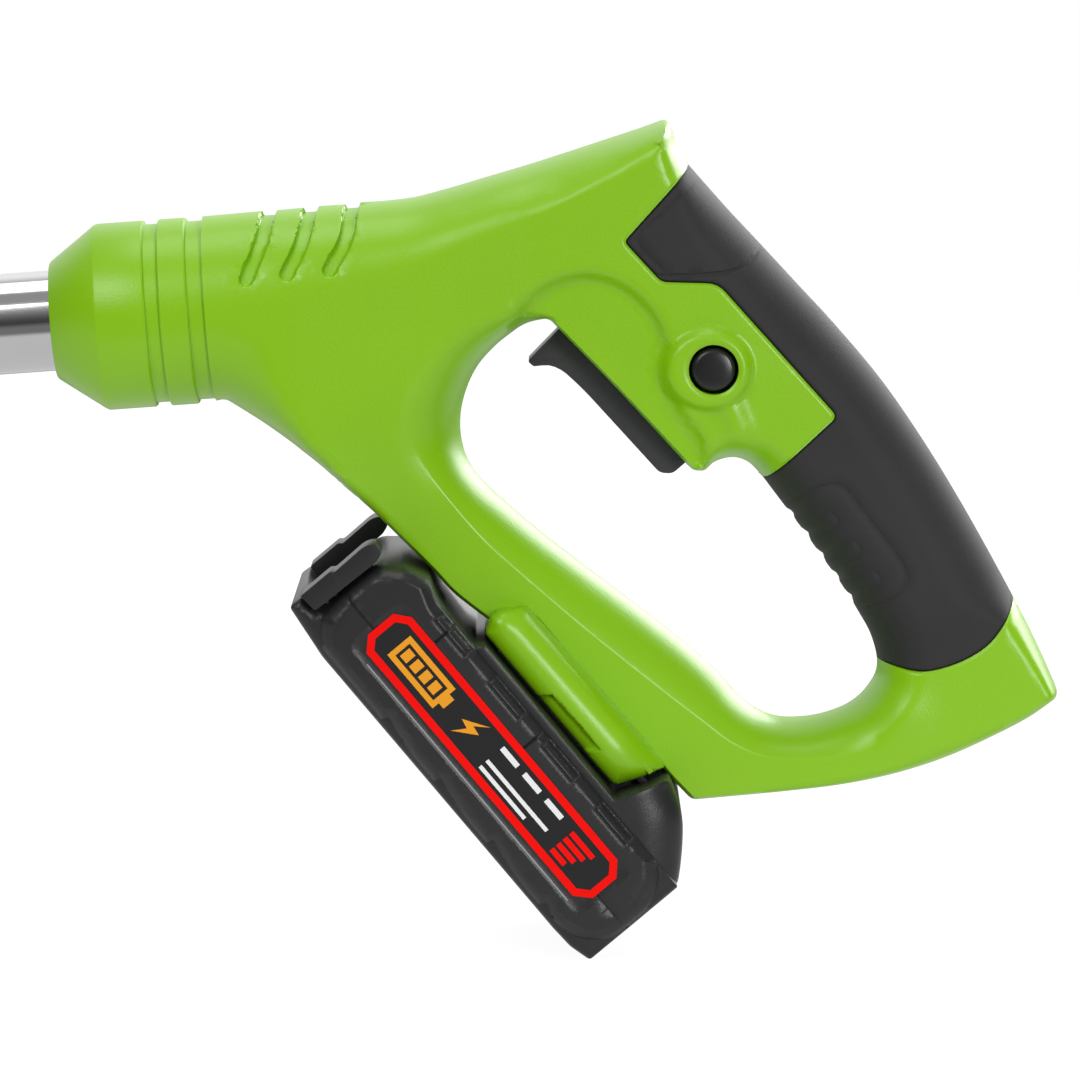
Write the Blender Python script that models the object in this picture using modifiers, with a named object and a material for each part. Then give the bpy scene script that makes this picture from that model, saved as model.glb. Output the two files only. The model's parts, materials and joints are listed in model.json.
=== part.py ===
"""Battery lawn edger: a D-handle with a slide-on pack, a telescopic shaft and a wheeled edging head.

The machine lies as it is set down: on the pack's lower edge and on its two guide wheels.
Everything is drawn in the tool frame, in millimetres: X runs back along the shaft from the
nose of the handle, Z is up from the shaft's axis, and Y is across, with the operator's left at -Y.
The empty tool_frame tips that frame onto the floor, and turns millimetres into metres.
"""
import math

import bmesh
import bpy
from mathutils import Matrix, Vector
from mathutils.geometry import tessellate_polygon

# ---- driving dimensions, millimetres and degrees -------------------------------------------------
SHAFT_RISE = 4.1             # the shaft climbs this much towards the handle, degrees
NOSE_HEIGHT = 155.1          # height of the shaft's axis at the handle's nose, above the floor
ROW_X = 274.44               # where the nose stands, along the row's X
GAP = 0.35                   # clearance between pieces that touch on the real machine
SPLIT = 0.2                  # each half stops this far from the joint plane

TUBE_R = 12.5                # outer shaft tube
TUBE_WALL = 1.2
TUBE_REAR, TUBE_FRONT = 48.0, -392.0
INNER_R = 10.9               # inner, telescoping tube
INNER_REAR, INNER_FRONT = -130.0, -640.0

BARREL_R = 23.2              # handle nose
LOOP_HALF = 17.0             # half width of the D loop
BODY_HALF = 21.5             # half width of the body behind the nose
LOOP_ROUND, BODY_ROUND = 6.0, 7.0
RUBBER = 3.0
WALL = 2.8

TRIGGER_TOP = (126.1, -10.4)     # start of the flat that the trigger comes out of
TRIGGER_SLOPE = -50.9
TRIGGER_HALF = 6.0
LOCK_OFF = (163.0, -22.2)
LOCK_OFF_R = 5.4

RAIL_ANGLE = -54.1               # direction the pack slides off
RAIL_ORIGIN = (97.8, -77.6)      # a point on the pack's top face
RAIL_HALF, FLANGE_HALF = 18.8, 22.4
CONTACT_Y = (-9.0, -3.0, 3.0, 9.0)
PACK_HALF = 37.0
CELL_R, CELL_LENGTH, CELL_PITCH, CELLS = 9.2, 65.0, 18.9, 5
CELL_FIRST, CELL_B = -9.6, -20.4     # first cell's axis in the pack's frame
LATCH_Y = (25.0, 36.6)

AUX_X = -205.0                   # second handle's clamp
AUX_PIVOT_Z = 26.0
AUX_HALF_WIDTH = 66.0
AUX_HEIGHT = 96.0
AUX_TUBE_R = 7.0
AUX_GRIP_R, AUX_GRIP_HALF = 13.0, 40.0
AUX_BOLT_R, AUX_KNOB_R = 4.0, 11.0
AUX_CLAMP_HALF, AUX_SCREW_Y = 21.0, 17.0

COLLAR_REAR = -378.0             # rear face of the ferrule that the twist collar locks on
COLLAR_R = 18.2

HEAD_X = -715.0                  # motor axis
HEAD_R = 34.0
HEAD_HALF = 34.0
HEAD_ROUND = 5.0
HEAD_LUG_RING = 39.2
MOTOR_R = 27.5
BEARING_R = 11.0
SPINDLE_R = 4.0
BLADE_R = 85.0
BLADE_Y = -51.0
GUARD_R = 92.0
GUARD_SCREW_RING, GUARD_SCREW_ANGLES = 24.0, (40, 130)
WHEEL_R = 34.0
WHEEL_X = -630.0
WHEEL_Y = (24.0, 42.0)
TYRE_SEAT_R = 27.0
AXLE_R = 4.0
ARM_PIVOT = (-652.0, -27.0)
ARM_BOLT_R = 3.0
NECK_SCREW_X = -620.0

PI = math.pi
COLLECTION = "lawn_edger"

# Handle outline, (x, z) on a smooth run, (x, z, radius) at a corner.
HANDLE_OUTLINE = [
    (30, 23.0, 0), (60, 23.1), (82, 23.5), (98, 25.3), (122, 30.6), (140, 35.2), (155.6, 39.6, 2.4),
    (158.2, 33.0), (160.8, 27.4, 1.0), (176.5, 7.2), (194, -14), (207, -32), (218.5, -52),
    (228, -71.5), (235.2, -87), (240.3, -101), (243.9, -110.6, 3.0), (228, -119.6), (207, -126.6),
    (183, -129.8), (150.3, -130.4, 1.5), (144.8, -123.9, 1.0), (110.6, -76.7, 1.0), (103.0, -81.6, 1.0),
    (89.3, -67.2), (76, -52), (62.9, -38.9), (52, -29.8), (42, -22.6, 4.0), (30, -22.6, 0),
]
LOOP_OPENING = [
    (99.4, -37), (100.2, -29), (103.6, -20.8), (109.5, -14), (117.0, -9.0), (123.2, -7.6, 2.0),
    (155.6, -47.2), (158.6, -49.6, 1.5), (162.6, -46.6), (167.6, -46.0), (173.8, -51.6),
    (186.7, -70.8), (196.0, -87), (199.2, -99), (196.2, -106), (188, -110.6), (177, -111.8),
    (168.2, -108.6), (159.9, -99.4), (144.4, -83.9), (117.5, -60.6), (104.0, -47.6),
]
FRONT_BODY = [
    (34, 22.6, 2), (82, 23.0), (122, 30.0), (151, 37.4, 3), (149, 12.0, 8), (126, -2.0, 10), (104, -9.0),
    (96.0, -24), (94.5, -42), (88.0, -63.0, 5), (76, -52.2), (62.9, -39.2), (52, -30.2), (41, -22.6, 3),
    (34, -22.6, 2),
]
RUBBER_REGION = [
    (176.0, 45.0, 0), (160.6, 28.0, 0), (143.4, 10.8, 1.5), (151.8, 0.2, 2.0), (165.6, -1.2, 3.0),
    (192.6, -36.2, 2.0), (173.8, -50.8, 0), (160.0, -66.0, 0), (190.0, -99.0, 0), (198.6, -99.4, 0),
    (212.0, -101.2), (226.0, -96.0), (234.6, -85.4, 0), (256.0, -70.0, 0), (256.0, 45.0, 0),
]
SCREWS = [(66, 14), (68, -31), (141, 24), (219, -110)]

# Pack outline in its own frame: A along the rail, B off the pack's top face.
PACK_SIDE = [
    (-26.0, -31.0, 3), (-22.6, -8.6, 4), (-18.0, -4.6, 3), (85.0, -4.6, 4), (84.6, -31.6, 1.5),
    (79.4, -32.6, 2), (72.4, -33.0, 2), (-16.0, -33.0, 4),
]


# ---- helpers -------------------------------------------------------------------------------------
def clear_scene():
    for obj in list(bpy.data.objects):
        bpy.data.objects.remove(obj)


def material(name, colour, roughness, metallic=0.0):
    found = bpy.data.materials.get(name)
    if found:
        return found
    made = bpy.data.materials.new(name)
    made.use_nodes = True
    shader = made.node_tree.nodes["Principled BSDF"]
    shader.inputs["Base Color"].default_value = (*colour, 1.0)
    shader.inputs["Roughness"].default_value = roughness
    shader.inputs["Metallic"].default_value = metallic
    return made


def green():
    return material("green_plastic", (0.24, 0.54, 0.0), 0.35)


def black():
    return material("black_plastic", (0.02, 0.02, 0.022), 0.45)


def rubber():
    return material("rubber", (0.025, 0.025, 0.028), 0.7)


def steel():
    return material("steel", (0.55, 0.55, 0.56), 0.25, 1.0)


def board():
    return material("board", (0.02, 0.16, 0.07), 0.5)


def polar(angle, radius, centre=(0.0, 0.0)):
    """The point at that angle, in degrees, and radius from a centre."""
    turn = math.radians(angle)
    return centre[0] + radius * math.cos(turn), centre[1] + radius * math.sin(turn)


def arc(start, end, radius, centre=(0.0, 0.0), count=12):
    return [polar(start + (end - start) * i / count, radius, centre) for i in range(count + 1)]


def smooth_run(points, closed, step):
    """Points about a step apart on a centripetal Catmull-Rom curve through the given ones."""
    count = len(points)
    out = []
    for i in range(count if closed else count - 1):
        p1, p2 = points[i], points[(i + 1) % count]
        if closed:
            p0, p3 = points[i - 1], points[(i + 2) % count]
        else:
            p0 = points[i - 1] if i else p1 + (p1 - p2)
            p3 = points[i + 2] if i + 2 < count else p2 + (p2 - p1)
        knots = [0.0]
        for a, b in ((p0, p1), (p1, p2), (p2, p3)):
            knots.append(knots[-1] + math.sqrt((b - a).length))
        steps = max(1, round((p2 - p1).length / step))
        for k in range(steps):
            t = knots[1] + (knots[2] - knots[1]) * k / steps
            a = [
                (q * (knots[j + 1] - t) + r * (t - knots[j])) / (knots[j + 1] - knots[j])
                for j, (q, r) in enumerate(((p0, p1), (p1, p2), (p2, p3)))
            ]
            b = [
                (a[j] * (knots[j + 2] - t) + a[j + 1] * (t - knots[j])) / (knots[j + 2] - knots[j])
                for j in range(2)
            ]
            out.append((b[0] * (knots[2] - t) + b[1] * (t - knots[1])) / (knots[2] - knots[1]))
    if not closed:
        out.append(points[-1].copy())
    return out


def thinned(points, slack):
    """Drops the points that the outline can do without, each within the slack of the line left."""
    points = list(points)
    while len(points) > 8:
        bends = []
        for i, p in enumerate(points):
            a, b = points[i - 1], points[(i + 1) % len(points)]
            run = b - a
            off = abs(run.x * (p.y - a.y) - run.y * (p.x - a.x)) / max(run.length, 1e-6)
            bends.append((off, i))
        smallest, i = min(bends)
        if smallest > slack:
            break
        points.pop(i)
    return points


def outline_points(entries, slack=0.2, corner_steps=2, step=3.0):
    """A closed outline from entries that are (x, z) on a smooth run or (x, z, radius) at a corner."""
    corners = [i for i, entry in enumerate(entries) if len(entry) == 3]
    if not corners:
        return thinned(smooth_run([Vector(entry) for entry in entries], True, step), slack)
    out = []
    for n, first in enumerate(corners):
        last = corners[(n + 1) % len(corners)]
        span = (last - first) % len(entries) or len(entries)
        picked = [entries[(first + k) % len(entries)] for k in range(span + 1)]
        run = smooth_run([Vector(entry[:2]) for entry in picked], False, step)
        for end, entry in ((0, picked[0]), (-1, picked[-1])):
            if entry[2]:
                away = run[1] - run[0] if end == 0 else run[-2] - run[-1]
                reach = min(entry[2], 0.45 * away.length)
                run[end] = run[end] + away.normalized() * reach
        if picked[0][2]:
            corner, before = Vector(picked[0][:2]), out[-1] if out else None
            run = [("corner", corner, corner_steps)] + run
        out += run if not out or picked[0][2] else run[1:]
    first_corner = out[0]
    if isinstance(first_corner, tuple):
        out = out[1:] + [first_corner]
    points = []
    for i, item in enumerate(out):
        if isinstance(item, tuple):
            start, end = out[i - 1], out[(i + 1) % len(out)]
            for k in range(1, item[2] + 1):
                t = k / (item[2] + 1)
                points.append(start * (1 - t) ** 2 + item[1] * 2 * t * (1 - t) + end * t * t)
        else:
            points.append(item)
    clean = [p for i, p in enumerate(points) if (p - points[i - 1]).length > 0.02]
    return thinned(clean, slack)


def area(points):
    return 0.5 * sum(a.x * b.y - b.x * a.y for a, b in zip(points, points[1:] + points[:1]))


def wound(points, anticlockwise):
    return points if (area(points) > 0) == anticlockwise else points[::-1]


def link(obj):
    bpy.data.collections[COLLECTION].objects.link(obj)
    return obj


def mesh_object(name, bm, mat=None):
    mesh = bpy.data.meshes.new(name)
    bm.to_mesh(mesh)
    bm.free()
    obj = link(bpy.data.objects.new(name, mesh))
    if mat:
        mesh.materials.append(mat)
    return obj


def baked(obj, name=None):
    """The object as a plain welded mesh in the tool frame, with its modifiers applied."""
    bpy.context.view_layer.update()
    graph = bpy.context.evaluated_depsgraph_get()
    mesh = bpy.data.meshes.new_from_object(obj.evaluated_get(graph))
    mesh.transform(obj.matrix_world)
    bm = bmesh.new()
    bm.from_mesh(mesh)
    bmesh.ops.remove_doubles(bm, verts=bm.verts, dist=0.0005)
    bmesh.ops.dissolve_degenerate(bm, edges=bm.edges, dist=0.0005)
    bmesh.ops.holes_fill(bm, edges=[edge for edge in bm.edges if edge.is_boundary])
    bm.to_mesh(mesh)
    bm.free()
    name = name or obj.name
    bpy.data.objects.remove(obj)
    return link(bpy.data.objects.new(name, mesh))


def inset_ring(points, distance):
    """An anticlockwise outline moved inwards, or out for a distance below 0.

    Edges that would turn over shrink away.
    """
    if not distance:
        return [p.copy() for p in points]
    count = len(points)
    heading = [(points[(i + 1) % count] - points[i]).normalized() for i in range(count)]
    base = [points[i] + Vector((-heading[i].y, heading[i].x)) * distance for i in range(count)]
    alive = list(range(count))

    def corner(first, second):
        a, b = heading[first], heading[second]
        spread = a.x * b.y - a.y * b.x
        if abs(spread) < 1e-4:
            return base[second].copy()
        gap = base[second] - base[first]
        reach = (gap.x * b.y - gap.y * b.x) / spread
        return base[first] + a * reach

    while len(alive) > 3:
        met = [corner(alive[k - 1], alive[k]) for k in range(len(alive))]
        runs = [(met[(k + 1) % len(met)] - met[k]).dot(heading[alive[k]]) for k in range(len(met))]
        worst = min(range(len(runs)), key=lambda k: runs[k])
        if runs[worst] > 1e-6:
            break
        alive.pop(worst)
    met = [corner(alive[k - 1], alive[k]) for k in range(len(alive))]
    out = []
    for i in range(count):
        after = next((k for k, edge in enumerate(alive) if edge >= i), 0)
        out.append(met[after])
    return out


def slab(name, outline, y0, y1, mat=None, holes=(), round_edge=0.0, inset=0.0, segments=2):
    """A flat outline in XZ, filled and given its width along Y, with rounded edges."""
    levels = [(y1, round_edge)]
    for k in range(1, segments + 1 if round_edge else 0):
        turn = PI / 2 * k / segments
        levels.append((y1 - round_edge * (1 - math.cos(turn)), round_edge * (1 - math.sin(turn))))
    levels += [(y0 + y1 - y, ring_inset) for y, ring_inset in reversed(levels)]
    bm = bmesh.new()
    caps = []
    for n, loop_points in enumerate([outline, *holes]):
        points = wound([Vector(p[:2]) for p in loop_points], True)
        inwards = 1 if n == 0 else -1
        rings = []
        for y, ring_inset in levels:
            ring = inset_ring(points, inwards * (inset + ring_inset))
            rings.append([bm.verts.new((q.x, y, q.y)) for q in ring])
        for upper, lower in zip(rings, rings[1:]):
            for i in range(len(points)):
                bm.faces.new((upper[i - 1], upper[i], lower[i], lower[i - 1]))
        caps.append((rings[0], rings[-1]))
    for end in (0, 1):
        loops = []
        for rings in caps:
            ring = rings[end]
            loops.append([v for k, v in enumerate(ring) if (v.co - ring[k - 1].co).length > 1e-5])
        flat = [v for ring in loops for v in ring]
        for a, b, c in tessellate_polygon([[Vector((v.co.x, v.co.z, 0)) for v in ring] for ring in loops]):
            bm.faces.new((flat[a], flat[b], flat[c]))
    bmesh.ops.remove_doubles(bm, verts=bm.verts, dist=0.0005)
    bmesh.ops.dissolve_degenerate(bm, edges=bm.edges, dist=0.0005)
    bmesh.ops.recalc_face_normals(bm, faces=bm.faces)
    return mesh_object(name, bm, mat)


def box(name, low, high, mat=None, bevel=0.0):
    bm = bmesh.new()
    bmesh.ops.create_cube(bm, size=1.0)
    size = [high[i] - low[i] for i in range(3)]
    middle = [(high[i] + low[i]) / 2 for i in range(3)]
    bmesh.ops.transform(bm, matrix=Matrix.Translation(middle) @ Matrix.Diagonal((*size, 1)), verts=bm.verts)
    obj = mesh_object(name, bm, mat)
    if bevel:
        rounding = obj.modifiers.new("round", "BEVEL")
        rounding.width = bevel
        rounding.segments = 2
        return baked(obj)
    return obj


def rod(name, radius, start, end, mat=None, sides=20, radius_end=None):
    """A round bar or cone between two points."""
    start, end = Vector(start), Vector(end)
    bm = bmesh.new()
    bmesh.ops.create_cone(
        bm, cap_ends=True, segments=sides, radius1=radius,
        radius2=radius if radius_end is None else radius_end, depth=(end - start).length,
    )
    turn = Vector((0, 0, 1)).rotation_difference(end - start).to_matrix().to_4x4()
    bmesh.ops.transform(bm, matrix=Matrix.Translation((start + end) / 2) @ turn, verts=bm.verts)
    return mesh_object(name, bm, mat)


def turned(name, profile, origin, direction, mat=None, sides=28):
    """A profile of (distance along, radius), spun round an axis. Its ring is closed, or ends on the axis."""
    bm = bmesh.new()
    verts = [bm.verts.new((radius, 0, along)) for along, radius in profile]
    for a, b in zip(verts, verts[1:]):
        bm.edges.new((a, b))
    if profile[0][1] > 0:
        bm.edges.new((verts[-1], verts[0]))
    obj = mesh_object(name, bm, mat)
    screw = obj.modifiers.new("spin", "SCREW")
    screw.steps = screw.render_steps = sides
    screw.use_merge_vertices = True
    screw.merge_threshold = 0.00005
    screw.use_normal_calculate = True
    turn = Vector((0, 0, 1)).rotation_difference(Vector(direction)).to_matrix().to_4x4()
    obj.matrix_world = Matrix.Translation(origin) @ turn
    made = baked(obj)
    bm = bmesh.new()
    bm.from_mesh(made.data)
    bmesh.ops.recalc_face_normals(bm, faces=bm.faces)
    bm.to_mesh(made.data)
    bm.free()
    return made


def sleeve(name, inner, outer, start, end, mat=None, sides=28):
    """A plain tube between two points, with open bore."""
    start, end = Vector(start), Vector(end)
    length = (end - start).length
    ring = [(length, inner), (length, outer), (0.0, outer), (0.0, inner)]
    return turned(name, ring, start, end - start, mat, sides)


def coil(name, radius, wire, turns, start, end, mat):
    """A compression spring between two points."""
    start, end = Vector(start), Vector(end)
    length = (end - start).length - 2 * wire
    per_turn = 8
    curve = bpy.data.curves.new(name, "CURVE")
    curve.dimensions = "3D"
    curve.bevel_depth = wire
    curve.bevel_resolution = 0
    curve.use_fill_caps = True
    spline = curve.splines.new("POLY")
    count = turns * per_turn
    spline.points.add(count)
    for i, point in enumerate(spline.points):
        x, y = polar(360 * i / per_turn, radius)
        point.co = (x, y, wire + length * i / count, 1)
    obj = link(bpy.data.objects.new(name, curve))
    turn = Vector((0, 0, 1)).rotation_difference(end - start).to_matrix().to_4x4()
    obj.matrix_world = Matrix.Translation(start) @ turn
    curve.materials.append(mat)
    return baked(obj)


def combine(obj, others, operation):
    """Applies one Boolean after another with these solids, which are used up."""
    for other in others:
        step = obj.modifiers.new("combine", "BOOLEAN")
        step.operation = operation
        step.solver = "EXACT"
        step.object = other
        name, mats = obj.name, list(obj.data.materials)
        obj = baked(obj)
        obj.name = name
        if mats and not obj.data.materials:
            obj.data.materials.append(mats[0])
        bpy.data.objects.remove(other)
    return obj


def cut(obj, *others):
    return combine(obj, others, "DIFFERENCE")


def join(obj, *others):
    return combine(obj, others, "UNION")


def keep(obj, *others):
    return combine(obj, others, "INTERSECT")


def copy_of(obj, name):
    return link(bpy.data.objects.new(name, obj.data.copy()))


def in_frame(obj, origin, angle):
    """Moves a piece drawn round (0, 0) in XZ to an origin, turned by an angle in the XZ plane."""
    turn = Matrix.Rotation(-math.radians(angle), 4, "Y")
    obj.data.transform(Matrix.Translation((origin[0], 0, origin[1])) @ turn)
    return obj


def trigger_frame(obj):
    return in_frame(obj, TRIGGER_TOP, TRIGGER_SLOPE)


def pack_frame(obj):
    return in_frame(obj, RAIL_ORIGIN, RAIL_ANGLE)


def half_space(name, side):
    """Everything on one side of the joint plane: -1 is the operator's left."""
    low, high = (SPLIT, 90.0) if side > 0 else (-90.0, -SPLIT)
    return box(name, (-900, low, -200), (300, high, 200))


def finished(obj):
    """Flat faces stay flat and round ones are shaded smooth."""
    obj.data.shade_smooth()
    obj.data.set_sharp_from_angle(angle=math.radians(35))
    return obj


# ---- handle --------------------------------------------------------------------------------------
def handle_solid():
    loop = slab(
        "loop", outline_points(HANDLE_OUTLINE), -LOOP_HALF, LOOP_HALF, green(),
        [outline_points(LOOP_OPENING)], LOOP_ROUND,
    )
    body = slab("body", outline_points(FRONT_BODY), -BODY_HALF, BODY_HALF, None, (), BODY_ROUND)
    ring = [
        (0.6, 0.0), (0.6, 14.4), (12.6, BARREL_R), (24.6, BARREL_R), (24.9, 22.2), (28.2, 22.2),
        (28.5, BARREL_R), (35.2, BARREL_R), (35.5, 22.2), (39.0, 22.2), (39.3, BARREL_R), (47.0, BARREL_R),
        (62.0, 20.0), (62.0, 0.0),
    ]
    barrel = turned("barrel", ring, (0, 0, 0), (1, 0, 0), None, 32)
    boss = rod("boss", 9.6, (LOCK_OFF[0], -20.5, LOCK_OFF[1]), (LOCK_OFF[0], -8, LOCK_OFF[1]), None, 20)
    return join(loop, body, barrel, boss)


def handle_cavity():
    loop = slab(
        "loop_cavity", outline_points(HANDLE_OUTLINE, 0.3, 1), -11.2, 11.2, None,
        [outline_points(LOOP_OPENING, 0.3, 1)], 1.0, 5.8, 1,
    )
    half = BODY_HALF - WALL
    body = slab("body_cavity", outline_points(FRONT_BODY, 0.5, 1), -half, half, None, (), 3.0, 3.2, 1)
    nose = turned(
        "nose_cavity", [(-2.0, 0.0), (-2.0, 13.0), (3.0, 13.0), (14.0, 19.4), (48.0, 19.4), (48.0, 0.0)],
        (0, 0, 0), (1, 0, 0), None, 20,
    )
    return join(loop, body, nose)


def rubber_solid(gap):
    """The moulded-on grip as one solid wrapped round the core, grown by a gap when it is a cutter."""
    outer, opening = outline_points(HANDLE_OUTLINE), outline_points(LOOP_OPENING)
    half = LOOP_HALF + gap * 3
    skin = slab("rubber_skin", outer, -half, half, rubber(), [opening], LOOP_ROUND - gap, -gap * 3)
    half = LOOP_HALF - RUBBER - gap
    core = slab("rubber_core", outer, -half, half, None, [opening], 4.0, RUBBER + gap)
    region = slab("rubber_region", outline_points(RUBBER_REGION), -40, 40, None, (), 0.0, -gap)
    return keep(cut(skin, core), region)


def handle_shells():
    whole = cut(handle_solid(), rubber_solid(GAP))
    whole = cut(whole, handle_cavity())
    for i, (x, z) in enumerate(SCREWS):
        reach = 20.0 if x < 150 else 16.0
        whole = join(whole, rod(f"boss_{i}", 3.9, (x, -reach, z), (x, reach, z), None, 12))
    mouth = trigger_frame(box("mouth", (-1.2, -TRIGGER_HALF - 0.7, -12), (47.5, TRIGGER_HALF + 0.7, 17)))
    cradle = trigger_frame(rod("cradle", 2.35, (6.5, -9.8, 3.2), (6.5, 9.8, 3.2), None, 12))
    window = pack_frame(box("window", (17.6, -8.4, 9.0), (46.4, 8.4, 18.0)))
    whole = cut(whole, mouth, cradle, window)
    left = keep(copy_of(whole, "handle_shell_left"), half_space("left_side", -1))
    right = keep(copy_of(whole, "handle_shell_right"), half_space("right_side", 1))
    bpy.data.objects.remove(whole)
    x, z = LOCK_OFF
    left = cut(left, rod("button_hole", LOCK_OFF_R + GAP, (x, -30, z), (x, -5, z), None, 20))
    left = cut(left, rod("button_pocket", 8.2, (x, -16.2, z), (x, 2, z), None, 20))
    right = join(right, rod("post", 5.0, (x, -3.2, z), (x, 13.0, z), None, 14))
    for i, (sx, sz) in enumerate(SCREWS):
        left = cut(left, rod(f"pilot_{i}", 1.7, (sx, -9.5, sz), (sx, 2, sz), None, 8))
        right = cut(right, rod(f"bore_{i}", 1.7, (sx, -2, sz), (sx, 30, sz), None, 8))
        right = cut(right, rod(f"recess_{i}", 3.2, (sx, 9.0, sz), (sx, 30, sz), None, 12))
    return [left, right]


def grip_halves():
    whole = rubber_solid(0.0)
    left = keep(copy_of(whole, "grip_rubber_left"), half_space("left_side", -1))
    right = keep(copy_of(whole, "grip_rubber_right"), half_space("right_side", 1))
    bpy.data.objects.remove(whole)
    return [left, right]


def handle_screws():
    made = []
    for i, (x, z) in enumerate(SCREWS):
        screw = rod(f"handle_screw_{i + 1}", 1.4, (x, -8.8, z), (x, 10.0, z), steel(), 8)
        made.append(join(screw, rod("head", 2.8, (x, 9.4, z), (x, 11.4, z), None, 12)))
    return made


def trigger_parts():
    """Drawn in the trigger's frame: X down the flat, Z into the handle."""
    side = [
        (2.2, 8.0, 1), (1.0, 0.4, 0), (-0.4, -7.6, 0.6), (0.8, -11.4, 0.8), (4.0, -10.6), (7.4, -7.6),
        (42.8, -6.2, 1.5), (46.2, -3.6, 0.6), (45.8, 0.4, 0), (45.8, 8.0, 1), (30.0, 8.0, 0), (14.0, 8.0, 0),
    ]
    paddle = slab(
        "trigger", outline_points(side), -TRIGGER_HALF, TRIGGER_HALF, black(),
        (), 0.8, 0, 1,
    )
    trigger = trigger_frame(paddle)
    trigger = join(trigger, trigger_frame(rod("trunnion", 2.0, (6.5, -9.4, 3.2), (6.5, 9.4, 3.2), None, 12)))
    spring = trigger_frame(coil("trigger_spring", 2.4, 0.45, 4, (38, 0, 8.6), (38, 0, 16.4), steel()))
    switch = trigger_frame(box("micro_switch", (9.5, -4.2, 14.6), (25.5, 4.2, 22.5), black(), 0.5))
    lever = trigger_frame(box("lever", (12.0, -2.0, 10.9), (24.0, 2.0, 15.0)))
    return [trigger, spring, join(switch, lever)]


def lock_off_parts():
    x, z = LOCK_OFF
    profile = [
        (0.0, 0.0), (0.0, 2.6), (6.2, 2.6), (6.2, 7.2), (8.0, 7.2), (8.0, LOCK_OFF_R), (16.6, LOCK_OFF_R),
        (17.4, LOCK_OFF_R - 0.8), (17.4, 0.0),
    ]
    button = turned("lock_off_button", profile, (x, -7.6, z), (0, -1, 0), black(), 24)
    spring = coil("lock_off_spring", 4.0, 0.45, 4, (x, -3.6, z), (x, -13.3, z), steel())
    return [button, spring]


def handle_insides():
    clamp = sleeve("shaft_clamp", TUBE_R + GAP, 18.9, (15.0, 0, 0), (46.0, 0, 0), black(), 28)
    slot = box("slot", (0, -1.2, 0), (50, 1.2, 30))
    plate = box("control_board", (58, -0.8, -18), (93, 0.8, 4), board())
    chip = box("chip", (64, -4.0, -12), (78, 0.2, -3))
    capacitor = rod("capacitor", 4.0, (86, 0.2, -8), (86, 10, -8), None, 12)
    return [cut(clamp, slot), join(plate, chip, capacitor)]


# ---- pack dock and pack, drawn in the pack's frame -------------------------------------------------
def dock_parts():
    side = [(7.2, 0.3, 0), (7.4, 10.6, 0), (60.4, 10.6, 0), (59.6, 5.0, 0), (56.6, 0.3, 0)]
    dock = slab("battery_dock", outline_points(side), -28.0, 28.0, green(), (), 1.4, 0, 1)
    # a grooved channel takes the pack's rail, and a tongue with a tee holds the dock in the handle
    channel = box("channel", (3.0, -23.0, 3.6), (70.0, 23.0, 8.6))
    mouth = box("mouth", (-4.0, -19.6, -3.0), (70.0, 19.6, 5.0))
    dock = cut(dock, channel, mouth)
    tongue = box("tongue", (18.0, -8.0, 10.0), (46.0, 8.0, 18.4))
    dock = join(dock, tongue, box("tee", (18.0, -10.6, 17.4), (46.0, 10.6, 19.8)))
    contacts = box("dock_contacts", (11.4, -14.0, 1.2), (15.4, 14.0, 8.2), black(), 0.4)
    blades = [box(f"blade_{i}", (15.0, y - 0.5, 2.4), (26.0, y + 0.5, 7.2)) for i, y in enumerate(CONTACT_Y)]
    return [pack_frame(dock), pack_frame(join(contacts, *blades))]


def pack_tray():
    tray = slab("battery_tray", outline_points(PACK_SIDE), -PACK_HALF, PACK_HALF, black(), (), 3.5, 0, 2)
    tray = cut(tray, box("tray_room", (-20.6, -34.0, -30.6), (80.6, 34.0, 10.0)))
    tray = cut(tray, box("tray_top", (-60, -60, -5.2), (120, 60, 20)))
    for i, side in enumerate((-1, 1)):
        y0, y1 = sorted((side * 22.2, side * 40.0))
        tray = cut(tray, box(f"ear_bay_{i}", (-40, y0, -40), (-23.8, y1, 20)))
        y2, y3 = sorted((side * 24.0, side * 32.2))
        tray = cut(tray, box(f"stem_slot_{i}", (-26, y2, -22.6), (-18, y3, -11.4)))
    return tray


def pack_cover():
    side = [
        (-23.6, -4.8, 0), (-21.0, -2.9, 1), (-14.0, -2.2, 1), (6.6, -2.2, 0), (8.6, -0.3, 0),
        (60.6, -0.3, 0.6), (63.6, 12.4, 1.5), (72.0, 9.6, 3), (80.8, 2.0, 4), (84.8, -4.8, 0),
    ]
    cover = slab("battery_cover", outline_points(side), -34.0, 34.0, black(), (), 1.0, 0, 1)
    rail = box("rail", (13.0, -RAIL_HALF, -1.0), (62.0, RAIL_HALF, 7.8))
    flange = box("flange", (13.3, -FLANGE_HALF, 5.4), (61.7, FLANGE_HALF, 7.7))
    slits = [box(f"slit_{i}", (10.0, y - 0.9, 2.0), (30.0, y + 0.9, 12.0)) for i, y in enumerate(CONTACT_Y)]
    front = box("front_bay", (10.0, -15.0, 0.7), (16.2, 15.0, 12.0))
    cover = cut(join(cover, rail, flange), front, *slits)
    room = box("cover_room", (10.0, -31.0, -8.0), (79.0, 31.0, -2.6))
    return cut(cover, room, box("strut_notch", (55.0, -17.6, 10.3), (90.0, 17.6, 20.0)))


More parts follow.
